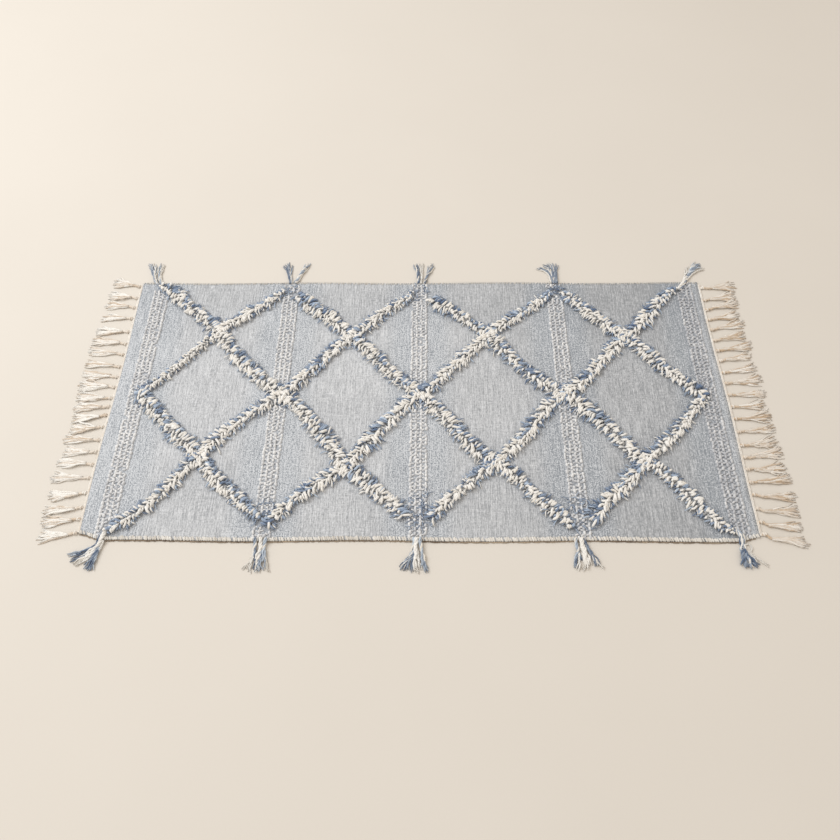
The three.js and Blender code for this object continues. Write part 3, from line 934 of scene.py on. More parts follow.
@dataclass
class PileLattice:
    """Ten lines of cut pile, each a dense row of leaning locks over a ridge of knots.

    Lengths are in millimetres. A run is the length over which something changes along a
    line. On a line's front side the locks start closer to its middle and are given paler
    tones, painted light that offsets the shade falling on that side. The blue ends are how far
    from a line's ends its locks turn bluer. The bow is where a lock bends, as shares of its
    length and of its curl.
    """

    finishes: Finishes
    lean_run: float = 24.0
    lean_swing: float = 0.38
    lean_stray: float = 0.32
    front_share: float = 0.8
    curl: float = 0.18
    bow: Point = (0.55, 0.15)
    tip_stray: Span = (-3.0, 0.8)
    height_stray: float = 1.1
    clearance: float = 0.3
    dye_run: float = 32.0
    dye_swing: float = 0.38
    blue_behind: float = 0.2
    blue_ends: Span = (8.0, 42.0)
    blue_at_ends: float = 0.4
    front_tone: float = 0.94
    back_tone: float = 0.82
    blue_darker: float = 0.42
    tone_spread: float = 0.24
    tone_stray: float = 0.12
    knot_pitch: float = 6.0
    knot_half: Span = (6.0, 8.5)
    knot_radius: float = 2.7
    form: StrandForm = field(default_factory=lambda: StrandForm(5, 6, turns_per_metre=20.0))
    end_form: StrandForm = field(default_factory=lambda: StrandForm(5, 7, turns_per_metre=20.0))
    knot_form: StrandForm = field(default_factory=lambda: StrandForm(5, 5, groove=0.1))
    seed: int = 41

    def build(self) -> list[bpy.types.Object]:
        """Builds every line, cream and blue apart, then the knots and the loose ends.

        Returns:
            The pieces, line by line.
        """
        pieces = []
        for index, line in enumerate(PILE_LINES):
            rng = np.random.default_rng(self.seed + index)
            routes, radii, dyes, tones = self._locks(line, rng)
            for dye, finish, slot in (
                (Dye.CREAM, self.finishes.cream, Slot.CREAM),
                (Dye.BLUE, self.finishes.blue, Slot.BLUE),
            ):
                own = dyes == dye.value
                name = f"{line.name}_{dye.name.lower()}"
                piece = self.form.lay(name, routes[own], radii[own], {"tone": tones[own]})
                pieces.append(dress(piece, finish, line.nodes))
        return [*pieces, self._knots(), self._tangles()]

    def _locks(self, line: PileLine, rng: np.random.Generator) -> tuple[np.ndarray, ...]:
        """Places one line's locks.

        Args:
            line: The line of pile.
            rng: The seeded source of random numbers.

        Returns:
            Routes, half thicknesses, dyes and tones, one for each lock.
        """
        parts = [self._tier(line, tier, rng) for tier in TIERS]
        return tuple(np.concatenate(columns) for columns in zip(*parts))

    def _tier(self, line: PileLine, tier: LockTier,
              rng: np.random.Generator) -> tuple[np.ndarray, ...]:
        """Places one tier of a line's locks.

        Args:
            line: The line of pile.
            tier: The layer of locks.
            rng: The seeded source of random numbers.

        Returns:
            Routes, half thicknesses, dyes and tones, one for each lock.
        """
        length = line.trace.length
        count = int(length * tier.per_mm)
        places = (np.arange(count) + rng.uniform(0, 1, count)) / count * length
        middle, ahead = line.trace.at(places)
        out, heading = self._headings(line, tier, places, ahead, rng)
        across = np.stack([-heading[:, 1], heading[:, 0]], axis=1)
        front = out[:, 1:2] < 0
        ease = line.width_at(places)[:, None]
        inset = np.where(front, self.front_share, 1.0)
        reach = tier.reach(rng.uniform(size=(count, 1)), front)
        curl = rng.uniform(-self.curl, self.curl, count)[:, None] * reach
        root = middle + out * rng.uniform(*tier.offset, count)[:, None] * ease * inset
        tip = root + heading * reach * ease + across * curl
        bow = root + heading * reach * self.bow[0] * ease - across * curl * self.bow[1]
        radius = rng.uniform(*tier.radius, count)
        floor = OUTLINE.thickness + self.clearance + radius * 0.9
        stray = rng.uniform(-self.height_stray, self.height_stray, (3, count))
        low, crest, end = (floor + up + more for up, more in zip(tier.heights, stray))
        dyes, tones = self._dyes(line, tier, places, out, rng)
        tip = tip + heading * rng.uniform(*self.tip_stray, count)[:, None]
        heights = (np.maximum(low, floor), crest, np.maximum(end, floor))
        routes = raised((root, bow, tip), heights, self.form.rings)
        routes[:, :, 2] = np.maximum(routes[:, :, 2], floor[:, None])
        swell = self.form.swell((0, 0.25, 0.6, 0.85, 1), (0.65, 0.95, 1.08, 0.9, 0.34))
        tones = np.clip(tones + rng.normal(0, self.tone_stray, count), 0.0, 1.0)
        return routes, radius[:, None] * swell, dyes, tones

    def _headings(self, line: PileLine, tier: LockTier, places: np.ndarray, ahead: np.ndarray,
                  rng: np.random.Generator) -> tuple[np.ndarray, np.ndarray]:
        """Picks each lock's side of the line and the way it lies, neighbours much alike.

        Args:
            line: The line of pile.
            tier: The layer of locks.
            places: The locks' distances along the line.
            ahead: The line's unit directions there.
            rng: The seeded source of random numbers.

        Returns:
            The unit directions out from the line, and along each lock.
        """
        count = len(places)
        side = np.where(rng.uniform(size=count) < 0.5, -1.0, 1.0)
        out = np.stack([-ahead[:, 1], ahead[:, 0]], axis=1) * side[:, None]
        down = ahead * -np.sign(ahead[:, 1:2])
        left, right = (drift(places, self.lean_run, rng) for _ in range(2))
        stray = rng.uniform(-self.lean_stray, self.lean_stray, count)
        share = np.clip(0.5 + self.lean_swing * np.where(side > 0, left, right) + stray, 0.0, 1.0)
        least, most = tier.lean
        angle = np.radians(line.turn + least + (most - least) * share)
        return out, np.sin(angle)[:, None] * out + np.cos(angle)[:, None] * down

    def _dyes(self, line: PileLine, tier: LockTier, places: np.ndarray, out: np.ndarray,
              rng: np.random.Generator) -> tuple[np.ndarray, np.ndarray]:
        """Picks each lock's yarn and its tone: bluer at a line's ends and on its back side.

        Args:
            line: The line of pile.
            tier: The layer of locks.
            places: The locks' distances along the line.
            out: The unit directions out from the line.
            rng: The seeded source of random numbers.

        Returns:
            The dyes as numbers, and the tones.
        """
        from_end = np.minimum(places, line.trace.length - places)
        blue = tier.blue + self.dye_swing * drift(places, self.dye_run, rng)
        blue = blue + self.blue_behind * np.sign(out[:, 1])
        blue = blue + self.blue_at_ends * (1 - smooth_step(*self.blue_ends, from_end))
        dyes = (rng.uniform(size=len(places)) < blue).astype(int)
        # Painted light: locks on the front side get paler tones to offset the shade there.
        shade = np.where(out[:, 1] < 0, self.front_tone, self.back_tone)
        return dyes, rng.normal(shade - self.blue_darker * dyes, self.tone_spread)

    def _knots(self) -> bpy.types.Object:
        """Builds the ridge of knots that the locks grow from, in greys partly the knots' own and
        partly painted shade where they show between the locks.

        Returns:
            Every line's ridge as one piece.
        """
        rng = np.random.default_rng(self.seed + 90)
        rings = self.knot_form.rings
        routes = []
        for line in PILE_LINES:
            length = line.trace.length
            count = int(length / self.knot_pitch)
            places = (np.arange(count) + 0.5) / count * length
            middle, ahead = line.trace.at(places)
            out = np.stack([-ahead[:, 1], ahead[:, 0]], axis=1)
            half = (rng.uniform(*self.knot_half, count) * line.width_at(places))[:, None]
            slant = ahead * rng.uniform(-3.0, 3.0, count)[:, None]
            shares = (-1.0, -0.5, 0.5, 1.0)
            plan = [middle + out * half * share + slant * share for share in shares]
            heights = [np.full(count, height) for height in (4.4, 5.8, 6.0, 4.4)]
            routes.append(raised(plan, heights, rings))
        routes = np.concatenate(routes)
        radii = np.full((len(routes), rings), self.knot_radius)
        tones = rng.uniform(0.1, 0.9, len(routes))
        piece = self.knot_form.lay("pile_roots", routes, radii, {"tone": tones})
        return dress(piece, self.finishes.root)

    def _tangles(self) -> bpy.types.Object:
        """Lays loose blue ends over the bands where two lines meet at a long edge.

        Returns:
            Every loose end as one piece.
        """
        rng = np.random.default_rng(self.seed + 91)
        roots, ways = [], []
        for tangle in TANGLES:
            shift = rng.uniform(-1, 1, (tangle.ends, 2)) * np.array(tangle.spread)
            roots.append(np.array(tangle.middle) + shift)
            ways.append(rng.uniform(0, FULL_TURN, tangle.ends))
        root, way = np.concatenate(roots), np.concatenate(ways)
        count = len(root)
        heading = np.column_stack([np.cos(way), np.sin(way)])
        across = np.column_stack([-heading[:, 1], heading[:, 0]])
        reach = rng.uniform(9.0, 19.0, count)[:, None]
        curl = rng.uniform(-0.45, 0.45, count)[:, None] * reach
        bow = root + heading * reach * 0.5 - across * curl * 0.4
        tip = root + heading * reach + across * curl * 0.3
        radius = rng.uniform(0.8, 1.3, count)
        floor = OUTLINE.thickness + 1.3 + radius
        heights = (floor, floor + rng.uniform(0.6, 2.2, count), floor - 0.6)
        routes = raised((root, bow, tip), heights, self.end_form.rings)
        swell = self.end_form.swell((0, 0.3, 0.8, 1), (0.6, 1.0, 0.9, 0.35))
        marks = {"tone": tones_about(0.42, 0.25, count, rng)}
        piece = self.end_form.lay("vertex_tangles", routes, radius[:, None] * swell, marks)
        return dress(piece, self.finishes.blue)


# The woven ground


# The five textured bands across the cloth: their middles along X, and how far they run in Y
BAND_MIDDLES = (-556.0, -276.0, -1.0, 288.0, 566.5)
BAND_RUN = (-294.0, 292.0)


def painted_shade_depth(x: np.ndarray, y: np.ndarray) -> np.ndarray:
    """Gives painted shade for the cloth and its stitches: more to the right, and near the back
    edge.

    Args:
        x: Places along the cloth in millimetres.
        y: Places across it.

    Returns:
        The depth of painted shade, 0 where there is none.
    """
    rightward = 0.50 * smooth_step(-80, 520, x) - 0.42 * smooth_step(574, 588, x)
    return rightward + 0.22 * smooth_step(110, 270, y) + 0.08 * smooth_step(110, 270, -y)


@dataclass
class GroundCloth:
    """The woven sheet that everything else is stitched or knotted to, in millimetres.

    The bluing and the painted shade between stitches fade between the two distances from a
    band's middle, and that shade also fades out between the two distances from the cloth's
    middle, at the long edges.
    """

    finishes: Finishes
    cell: float = 9.0
    ripple: float = 0.25
    bluing: Span = (38.0, 78.0)
    gap_shade: Span = (11.0, 18.0)
    gap_shade_ends: Span = (286.0, 298.0)
    gap_shade_share: float = 0.3

    def build(self) -> bpy.types.Object:
        """Builds the sheet with a flat underside.

        Returns:
            The cloth.
        """
        bm = bmesh.new()
        columns, rows = round(OUTLINE.length / self.cell), round(OUTLINE.width / self.cell)
        bmesh.ops.create_grid(bm, x_segments=columns, y_segments=rows, size=0.5)
        for vert in bm.verts:
            vert.co = self._placed(vert.co)
        under = list(bm.faces)
        top = bmesh.ops.extrude_face_region(bm, geom=under, use_keep_orig=True)
        for item in top["geom"]:
            if isinstance(item, bmesh.types.BMVert):
                item.co.z = self._height(item.co)
        bmesh.ops.recalc_face_normals(bm, faces=bm.faces)
        mesh = bpy.data.meshes.new("ground_cloth")
        bm.to_mesh(mesh)
        bm.free()
        mesh.shade_smooth()
        self._mark(mesh)
        cloth = bpy.data.objects.new("ground_cloth", mesh)
        bpy.context.scene.collection.objects.link(cloth)
        return dress(cloth, self.finishes.weave, ("kilim_cloth",))

    @staticmethod
    def _placed(spot: Vector) -> Vector:
        """Moves a point of the unit grid to its place inside the wavy outline.

        Args:
            spot: The point, from -0.5 to 0.5 each way.

        Returns:
            The point in metres, on the floor.
        """
        x, y = spot.x * OUTLINE.length, spot.y * OUTLINE.width
        end = End.LEFT if x < 0 else End.RIGHT
        side = Side.FRONT if y < 0 else Side.BACK
        across = OUTLINE.end_x(end, y) * abs(spot.x) * 2
        deep = OUTLINE.side_y(side, x) * abs(spot.y) * 2
        return Vector((across * MM, deep * MM, 0.0))

    def _height(self, spot: Vector) -> float:
        """The top's height, with a slight unevenness."""
        wander = noise.noise(Vector((spot.x * 22, spot.y * 14, 0.0)))
        return (OUTLINE.thickness + self.ripple * wander) * MM

    def _mark(self, mesh: bpy.types.Mesh) -> None:
        """Stores where the cloth is bluer, where it has painted shade towards the right and the
        long edges, and where it has painted shade between stitches.

        Args:
            mesh: The cloth's mesh, in metres.
        """
        spots = np.empty(len(mesh.vertices) * 3)
        mesh.vertices.foreach_get("co", spots)
        x, y = spots.reshape(-1, 3)[:, 0] / MM, spots.reshape(-1, 3)[:, 1] / MM
        off = np.min([np.abs(x - middle) for middle in BAND_MIDDLES], axis=0)
        bluing = 1 - smooth_step(*self.bluing, off)
        gap_shade = 1 - smooth_step(*self.gap_shade, off)
        gap_shade = gap_shade * (1 - smooth_step(*self.gap_shade_ends, np.abs(y)))
        gap_shade = gap_shade * self.gap_shade_share
        marks = (("bluing", bluing), ("falloff_shade", painted_shade_depth(x, y)), ("stitch_gap_shade", gap_shade))
        for name, values in marks:
            stored = mesh.attributes.new(name, "FLOAT", "POINT")
            stored.data.foreach_set("value", values.astype(np.float32))


@dataclass
class StitchBands:
    """Five bands of small raised loops in four columns, tied across by short bridges.

    Lengths are in millimetres. The slants are how far the stitches stray from straight, in
    radians, and missing is the share of stitches that aren't there.
    """

    finishes: Finishes
    columns: int = 4
    column_pitch: float = 9.5
    row_pitch: float = 8.0
    loop_half: float = 3.4
    loop_radius: float = 2.9
    loop_slant: float = 0.22
    bridge_half: float = 2.8
    bridge_radius: float = 2.0
    bridge_slant: float = 0.4
    rise: float = 1.2
    wander: float = 1.6
    wander_run: float = 60.0
    stray: float = 0.6
    clear_of_pile: float = 11.0
    edge: float = 295.0
    missing: float = 0.02
    form: StrandForm = field(default_factory=lambda: StrandForm(sides=6, rings=5, groove=0.15))
    seed: int = 7

    def build(self) -> bpy.types.Object:
        """Builds every loop and every bridge as one piece.

        Returns:
            The stitches.
        """
        rng = np.random.default_rng(self.seed)
        loops = self._grid(self.columns, 0.0, rng)
        bridges = self._grid(self.columns - 1, 0.5, rng)
        upright = rng.normal(0.0, self.loop_slant, len(loops))
        lying = math.pi / 2 + rng.normal(0.0, self.bridge_slant, len(bridges))
        spots, angle = np.concatenate([loops, bridges]), np.concatenate([upright, lying])
        is_loop = np.arange(len(spots)) < len(loops)
        half = np.where(is_loop, self.loop_half, self.bridge_half)
        thick = np.where(is_loop, self.loop_radius, self.bridge_radius)
        count = len(spots)
        half = half * rng.uniform(0.85, 1.12, count)
        thick = thick * rng.uniform(0.78, 1.12, count)
        lift = rng.uniform(0.4, 1.3, count) * self.rise
        way = np.stack([-np.sin(angle), np.cos(angle)], axis=1)
        points = []
        for along, up in ((-1.0, -0.2), (-0.5, 0.85), (0.5, 1.0), (1.0, -0.1)):
            plan = spots + way * (along * half)[:, None]
            points.append(np.column_stack([plan, OUTLINE.thickness + up * lift]))
        routes = between(points, self.form.rings)
        radii = thick[:, None] * self.form.swell((0, 0.25, 0.75, 1), (0.6, 1.0, 1.0, 0.6))
        routes[:, :, 2] = np.maximum(routes[:, :, 2], radii + 0.2)
        # Painted shade: stitches darken with the cloth towards the right and the long edges, and
        # more at the right end.
        pale = 0.8 - 0.5 * painted_shade_depth(spots[:, 0], spots[:, 1])
        pale = pale - 0.35 * smooth_step(400, 540, spots[:, 0])
        tones = np.clip(rng.normal(0.0, 0.25, count) + pale, 0, 1)
        piece = self.form.lay("band_stitches", routes, radii, {"tone": tones})
        return dress(piece, self.finishes.stitch)

    def _grid(self, columns: int, shift: float, rng: np.random.Generator) -> np.ndarray:
        """Gives the middle of each stitch of one family, clear of the pile.

        Args:
            columns: How many columns a band has.
            shift: How far the rows are moved, in rows.
            rng: The seeded source of random numbers.

        Returns:
            The points in plan.
        """
        first, last = BAND_RUN
        rows = np.arange(first, last, self.row_pitch) + shift * self.row_pitch
        spots = []
        for middle, column in product(BAND_MIDDLES, range(columns)):
            x = middle + (column - (columns - 1) / 2) * self.column_pitch
            wander = drift(rows - first, self.wander_run, rng) * self.wander
            y = rows + rng.normal(0, self.stray, len(rows)) + wander
            x = x + rng.normal(0, self.stray, len(rows))
            spots.append(np.column_stack([x, y]))
        spots = np.concatenate(spots)
        clear = np.min([line.trace.distance(spots) for line in PILE_LINES], axis=0)
        kept = (clear > self.clear_of_pile) & (np.abs(spots[:, 1]) < self.edge)
        return spots[kept & (rng.uniform(size=len(spots)) > self.missing)]


@dataclass(frozen=True)
class EdgeStitch:
    """How one long side is whipped, in millimetres.

    The way over the edge is given as points: how far outside the edge, how high, and the
    share of the slant along it.
    """

    side: Side
    pitch: float
    thickness: float
    over: Sequence[Triple]


EDGE_STITCHES = (
    EdgeStitch(Side.FRONT, 3.1, 1.8, (
        (-5.4, 2.6, -0.8), (-3.8, 3.3, -0.4), (-1.8, 3.5, 0.0), (-0.3, 3.1, 0.4), (0.0, 2.7, 0.7),
    )),
    EdgeStitch(Side.BACK, 4.2, 1.05, (
        (-3.6, 2.9, -1.0), (-2.4, 3.4, -0.5), (-0.6, 3.5, 0.0), (0.5, 2.9, 0.5), (0.7, 1.8, 1.0),
    )),
)


@dataclass
class Selvedges:
    """Whipped long sides: small stitches over each edge, and a dark binding under the front
    that is partly the edge's underside and partly a painted shadow.

    A stitch reaches unevenly far into the cloth, but only past the shallow distance.
    """

    finishes: Finishes
    slant: float = 1.8
    shallow: float = 2.0
    binding_and_shadow_pitch: float = 9.0
    binding_and_shadow_half: float = 5.5
    form: StrandForm = field(default_factory=lambda: StrandForm(sides=5, rings=7, groove=0.12))
    seed: int = 19

    def build(self) -> list[bpy.types.Object]:
        """Builds both sides and the binding.

        Returns:
            The front and back rows of stitches, and the binding with its painted shadow.
        """
        return [*(self._row(stitch) for stitch in EDGE_STITCHES), self._binding_and_shadow()]

    def _row(self, stitch: EdgeStitch) -> bpy.types.Object:
        """Builds one side's row of stitches.

        Args:
            stitch: How the side is whipped.

        Returns:
            The row as one piece.
        """
        side = stitch.side
        rng = np.random.default_rng(self.seed + side.value)
        half = OUTLINE.length / 2 - 2
        x = np.arange(-half, half, stitch.pitch)
        x = x + rng.normal(0, 0.9, len(x))
        count = len(x)
        edge = OUTLINE.side_y(side, x)
        deep = rng.uniform(0.75, 1.25, count)
        points = []
        for out, up, lean in stitch.over:
            y = edge + side.value * out * np.where(out < -self.shallow, deep, 1.0)
            points.append(np.column_stack([x + lean * self.slant, y, np.full(count, up)]))
        routes = between(points, self.form.rings)
        scale = stitch.thickness * rng.uniform(0.7, 1.25, count)
        radii = np.repeat(scale[:, None], self.form.rings, axis=1)
        routes[:, :, 2] = np.maximum(routes[:, :, 2], radii)
        tones = tones_about(0.62 + 0.2 * drift(x + half, 22.0, rng), 0.2, count, rng)
        piece = self.form.lay(f"selvedge_{side.name.lower()}", routes, radii, {"tone": tones})
        return dress(piece, self.finishes.edge)

    def _binding_and_shadow(self) -> bpy.types.Object:
        """Builds the thin dark cord that shows unevenly under the front edge, partly its underside
        and partly a painted shadow.

        Returns:
            The cord as one piece of short lengths.
        """
        rng = np.random.default_rng(self.seed + 5)
        form = StrandForm(sides=5, rings=5, groove=0.1)
        half = OUTLINE.length / 2 - 6
        x = np.arange(-half, half, self.binding_and_shadow_pitch)
        count = len(x)
        points = []
        # Painted shadow: the dark cord runs just outside and under the front edge, near the floor.
        for along in (-self.binding_and_shadow_half, 0.0, self.binding_and_shadow_half):
            place = x + along
            y = OUTLINE.side_y(Side.FRONT, place) - rng.uniform(1.2, 2.8, count)
            points.append(np.column_stack([place, y, np.full(count, 1.3)]))
        routes = between(points, form.rings)
        radii = np.repeat(rng.uniform(0.9, 1.3, count)[:, None], form.rings, axis=1)
        tones = tones_about(0.35 + 0.45 * drift(x + half, 30.0, rng), 0.12, count, rng)
        piece = form.lay("selvedge_binding_and_shadow", routes, radii, {"tone": tones})
        return dress(piece, self.finishes.binding_and_shadow)


# Fringe


@dataclass(frozen=True)
class Bundle:
    """One bundle of warp ends: its root and tip along Y, and how far out its tip lies."""

    root: float
    tip: float
    reach: float


LEFT_BUNDLES = tuple(Bundle(*row) for row in (
    (291, 302, 672), (258, 267, 674), (232, 240, 676), (202, 203, 675), (166, 168, 677),
    (134, 142, 681), (107, 116, 683), (76, 84, 681), (51, 58, 680), (26, 32, 682), (0, 2, 680),
    (-20, -22, 678), (-40, -48, 676), (-66, -72, 676), (-96, -95, 680), (-122, -122, 674),
    (-149, -143, 679), (-177, -176, 683), (-208, -214, 678), (-237, -244, 680),
    (-260, -266, 676), (-287, -295, 675),
))
RIGHT_BUNDLES = tuple(Bundle(*row) for row in (
    (285, 290, 684), (250, 264, 678), (224, 244, 681), (197, 212, 675), (170, 189, 681),
    (142, 158, 675), (116, 130, 684), (90, 104, 677), (61, 74, 679), (35, 45, 684), (8, 13, 684),
    (-20, -15, 676), (-48, -41, 683), (-77, -69, 682), (-107, -98, 680), (-133, -121, 685),
    (-158, -154, 683), (-185, -177, 686), (-210, -213, 686), (-238, -244, 683),
    (-264, -274, 680), (-288, -302, 686),
))


@dataclass
class FringeEnd:
    """One short end: a thin heading, and warp ends knotted, twisted and frayed.

    Lengths are in millimetres, and out is measured from the cloth's edge. The fan is how far
    a brush opens to each side, the opening is how late it does, and the bow is how far its
    middle hangs towards the front. A heading cord has its distance out, height and radius.
    """

    finishes: Finishes
    end: End
    bundles: Sequence[Bundle]
    fan: float
    opening: float
    tone: float
    bow: float = 0.0
    heading_cords: Sequence[Triple] = ((0.9, 2.5, 1.45), (3.3, 1.7, 1.5))
    heading_pitch: float = 12.0
    heading_half: float = 7.0
    knot_at: float = 8.0
    knot_length: float = 5.5
    knot_turns: float = 1.5
    knot_radius: float = 1.9
    knot_yarn: float = 1.7
    cord_radius: float = 2.8
    tie_radius: float = 0.65
    brush_at: float = 31.0
    threads: int = 22
    thread_radius: float = 1.55
    seed: int = 63

    def build(self) -> list[bpy.types.Object]:
        """Builds the heading, the knots, the cords, the brushes and the dark tie of painted shade
        beside each knot.

        Returns:
            The fringe as one piece, and its ties.
        """
        rng = np.random.default_rng(self.seed + self.end.value)
        parts = [*self._heading(rng), self._knots(rng), self._cords(rng), self._brushes(rng)]
        name = f"fringe_{self.end.name.lower()}"
        joined = join_pieces(f"{name}_yarn", parts)
        fringe = dress(joined, self.finishes.cotton, (name,))
        ties = dress(self._ties(rng), self.finishes.binding_and_shadow, (name,))
        return [fringe, ties]

    def _table(self) -> np.ndarray:
        """Gives the bundles as rows of root, tip, reach and the edge's X.

        Returns:
            One row of four numbers for each bundle.
        """
        rows = [(bundle.root, bundle.tip, bundle.reach) for bundle in self.bundles]
        table = np.array(rows, float)
        return np.column_stack([table, OUTLINE.end_x(self.end, table[:, 0])])

    def _heading(self, rng: np.random.Generator) -> list[bpy.types.Object]:
        """Lays two smooth warp-faced cords side by side along the edge.

        Args:
            rng: The seeded source of random numbers.

        Returns:
            The two cords.
        """
        form = StrandForm(sides=8, rings=6, groove=0.25, turns_per_metre=28.0)
        y = np.arange(-288.0, 292.0, self.heading_pitch)
        corner = OUTLINE.side_y(Side.FRONT, self.end.value * OUTLINE.length / 2)
        low, high = float(corner) + 2, OUTLINE.width / 2 - 2
        cords = []
        for out, up, radius in self.heading_cords:
            points = []
            for along in (-self.heading_half, 0.0, self.heading_half):
                place = np.clip(y + along, low, high)
                x = OUTLINE.end_x(self.end, place) + self.end.value * out
                points.append(np.column_stack([x, place, np.full(len(y), up)]))
            routes = between(points, form.rings)
            radii = np.full((len(y), form.rings), radius)
            tones = tones_about(0.75, 0.08, len(y), rng)
            cords.append(form.lay("heading", routes, radii, {"tone": tones}))
        return cords

    def _knots(self, rng: np.random.Generator) -> bpy.types.Object:
        """Ties an overhand knot in each bundle: one yarn wound once and a half round.

        Args:
            rng: The seeded source of random numbers.

        Returns:
            The knots as one piece.
        """
        form = StrandForm(sides=6, rings=14, groove=0.15)
        table = self._table()
        turn = np.linspace(0, 1, form.rings)
        spin = turn * FULL_TURN * self.knot_turns + rng.uniform(0, FULL_TURN, len(table))[:, None]
        along = self.knot_at + (turn - 0.5) * self.knot_length
        x = table[:, 3:4] + self.end.value * along[None, :]
        y = table[:, 0:1] + np.cos(spin) * self.knot_radius * 1.2
        z = self.knot_radius + self.knot_yarn * 0.8 + np.sin(spin) * self.knot_radius
        routes = np.stack([x, y, z], axis=2)
        radii = np.full((len(table), form.rings), self.knot_yarn)
        routes[:, :, 2] = np.maximum(routes[:, :, 2], self.knot_yarn)
        tones = tones_about(0.6, 0.15, len(table), rng)
        return form.lay("knots", routes, radii, {"tone": tones})

    def _ties(self, rng: np.random.Generator) -> bpy.types.Object:
        """Lays a short dark thread in the hollow beside each knot, as painted shade there.

        Args:
            rng: The seeded source of random numbers.

        Returns:
            The ties as one piece.
        """
        form = StrandForm(sides=5, rings=5, groove=0.0)
        table = self._table()
        count = len(table)
        start = self.knot_at + 4.2 + rng.uniform(-0.6, 0.6, count)
        points = []
        for out, side, up in ((0.0, -1.7, 1.9), (0.6, -0.2, 4.4), (1.6, 1.1, 4.0)):
            x = table[:, 3] + self.end.value * (start + out)
            points.append(np.column_stack([x, table[:, 0] + side, np.full(count, up)]))
        routes = between(points, form.rings)
        radii = np.full((count, form.rings), self.tie_radius)
        tones = rng.uniform(0.2, 1.0, count)
        return form.lay(f"fringe_{self.end.name.lower()}_ties", routes, radii, {"tone": tones})

    def _middle(self, table: np.ndarray, share: float, out: float) -> np.ndarray:
        """Gives a point on every bundle: its Y drifts from root to tip, with a bow.

        Args:
            table: The bundles.
            share: How far along its way from root to tip a bundle has drifted, 0 to 1.
            out: The distance out from the edge.

        Returns:
            The points in plan.
        """
        x = table[:, 3] + self.end.value * out
        y = table[:, 0] + (table[:, 1] - table[:, 0]) * share
        return np.column_stack([x, y - self.bow * math.sin(math.pi * min(share * 1.3, 1.0))])

    def _cords(self, rng: np.random.Generator) -> bpy.types.Object:
        """Twists each bundle into a two-ply cord, from the heading to its brush.

        Args:
            rng: The seeded source of random numbers.

        Returns:
            The cords as one piece.
        """
        form = StrandForm(sides=8, rings=24, groove=0.42, turns_per_metre=80.0)
        table = self._table()
        count = len(table)
        places = ((0.0, 4.0), (0.05, self.knot_at + 3), (0.28, self.brush_at - 13),
                  (0.45, self.brush_at - 4), (0.58, self.brush_at + 6))
        points = []
        for share, out in places:
            plan = self._middle(table, share, out)
            plan[:, 1] += rng.normal(0, 0.9, count) * (out > 12)
            points.append(np.column_stack([plan, np.full(count, self.cord_radius)]))
        routes = between(points, form.rings)
        thick = self.cord_radius * rng.uniform(0.88, 1.1, count)[:, None]
        radii = thick * form.swell((0, 0.15, 0.75, 1), (0.9, 1.05, 0.9, 0.5))
        routes[:, :, 2] = np.maximum(routes[:, :, 2], radii)
        tones = tones_about(self.tone - 0.4, 0.12, count, rng)
        return form.lay("cords", routes, radii, {"tone": tones})

    def _brushes(self, rng: np.random.Generator) -> bpy.types.Object:
        """Frays each cord into crimped threads that fan a little.

        Args:
            rng: The seeded source of random numbers.

        Returns:
            The brushes as one piece.
        """
        form = StrandForm(sides=4, rings=11, groove=0.0, turns_per_metre=5.0)
        table = np.repeat(self._table(), self.threads, axis=0)
        count = len(table)
        fan = np.tile(np.linspace(-1, 1, self.threads), len(self.bundles))
        fan = fan + rng.normal(0, 0.22, count)
        wide = self.fan * np.repeat(rng.uniform(0.75, 1.15, len(self.bundles)), self.threads)
        short = rng.uniform(0, 12, count) + np.abs(fan) * 3
        start = self._middle(table, 0.42, self.brush_at - 12)
        start[:, 1] += fan * 1.3
        tip = np.column_stack([self.end.value * (table[:, 2] - short), table[:, 1] + fan * wide])
        share = np.linspace(0, 1, form.rings)
        ease = share**self.opening
        way = np.stack([share, ease], axis=1)[None, :, :]
        plan = start[:, None, :] + (tip - start)[:, None, :] * way
        phase = rng.uniform(0, FULL_TURN, count)[:, None]
        crimp = rng.uniform(0.5, 1.7, count)[:, None] * np.minimum(share * 3, 1.0)
        plan[:, :, 1] += np.sin(share * rng.uniform(7, 14, count)[:, None] + phase) * crimp
        lift = rng.uniform(0.0, 3.4, count)[:, None]
        radii = self.thread_radius * np.interp(share, (0, 0.7, 1), (0.9, 1.0, 0.5))[None, :]
        radii = radii * rng.uniform(0.75, 1.25, count)[:, None]
        z = radii + lift * np.interp(share, (0, 0.3, 1), (0.9, 1.0, 0.15))[None, :]
        z = z + (0.5 + 0.5 * np.cos(share * 11 + phase)) * 0.5
        routes = np.concatenate([plan, z[:, :, None]], axis=2)
        shaded = rng.random(count) < 0.3
        tones = np.clip(rng.normal(self.tone + np.where(shaded, -0.5, 0.1), 0.12), 0, 1)
        return form.lay("brushes", routes, radii, {"tone": tones})


def join_pieces(name: str, parts: Sequence[bpy.types.Object]) -> bpy.types.Object:
    """Joins several meshes into one.

    Args:
        name: The joined piece's name.
        parts: The meshes, with the same stored numbers.

    Returns:
        The joined piece.
    """
    whole = parts[0]
    with bpy.context.temp_override(active_object=whole, selected_editable_objects=list(parts)):
        bpy.ops.object.join()
    whole.name = whole.data.name = name
    return whole


# Tassels


@dataclass(frozen=True)
class Strand:
    """One strand of a tassel: its yarn, its paleness, its half thickness and its way in plan.

    A mixed strand has one yarn of the other dye twisted into it.
    """

    dye: Dye
    tone: float
    radius: float
    way: Sequence[Point]
    mixed: bool = False


def blue(tone: float, radius: float, *way: Point, mixed: bool = False) -> Strand:
    """Names a blue strand; a mixed one is twisted with a cream yarn."""
    return Strand(Dye.BLUE, tone, radius, way, mixed)


def cream(tone: float, radius: float, *way: Point, mixed: bool = False) -> Strand:
    """Names a cream strand; a mixed one is twisted with a blue yarn."""
    return Strand(Dye.CREAM, tone, radius, way, mixed)


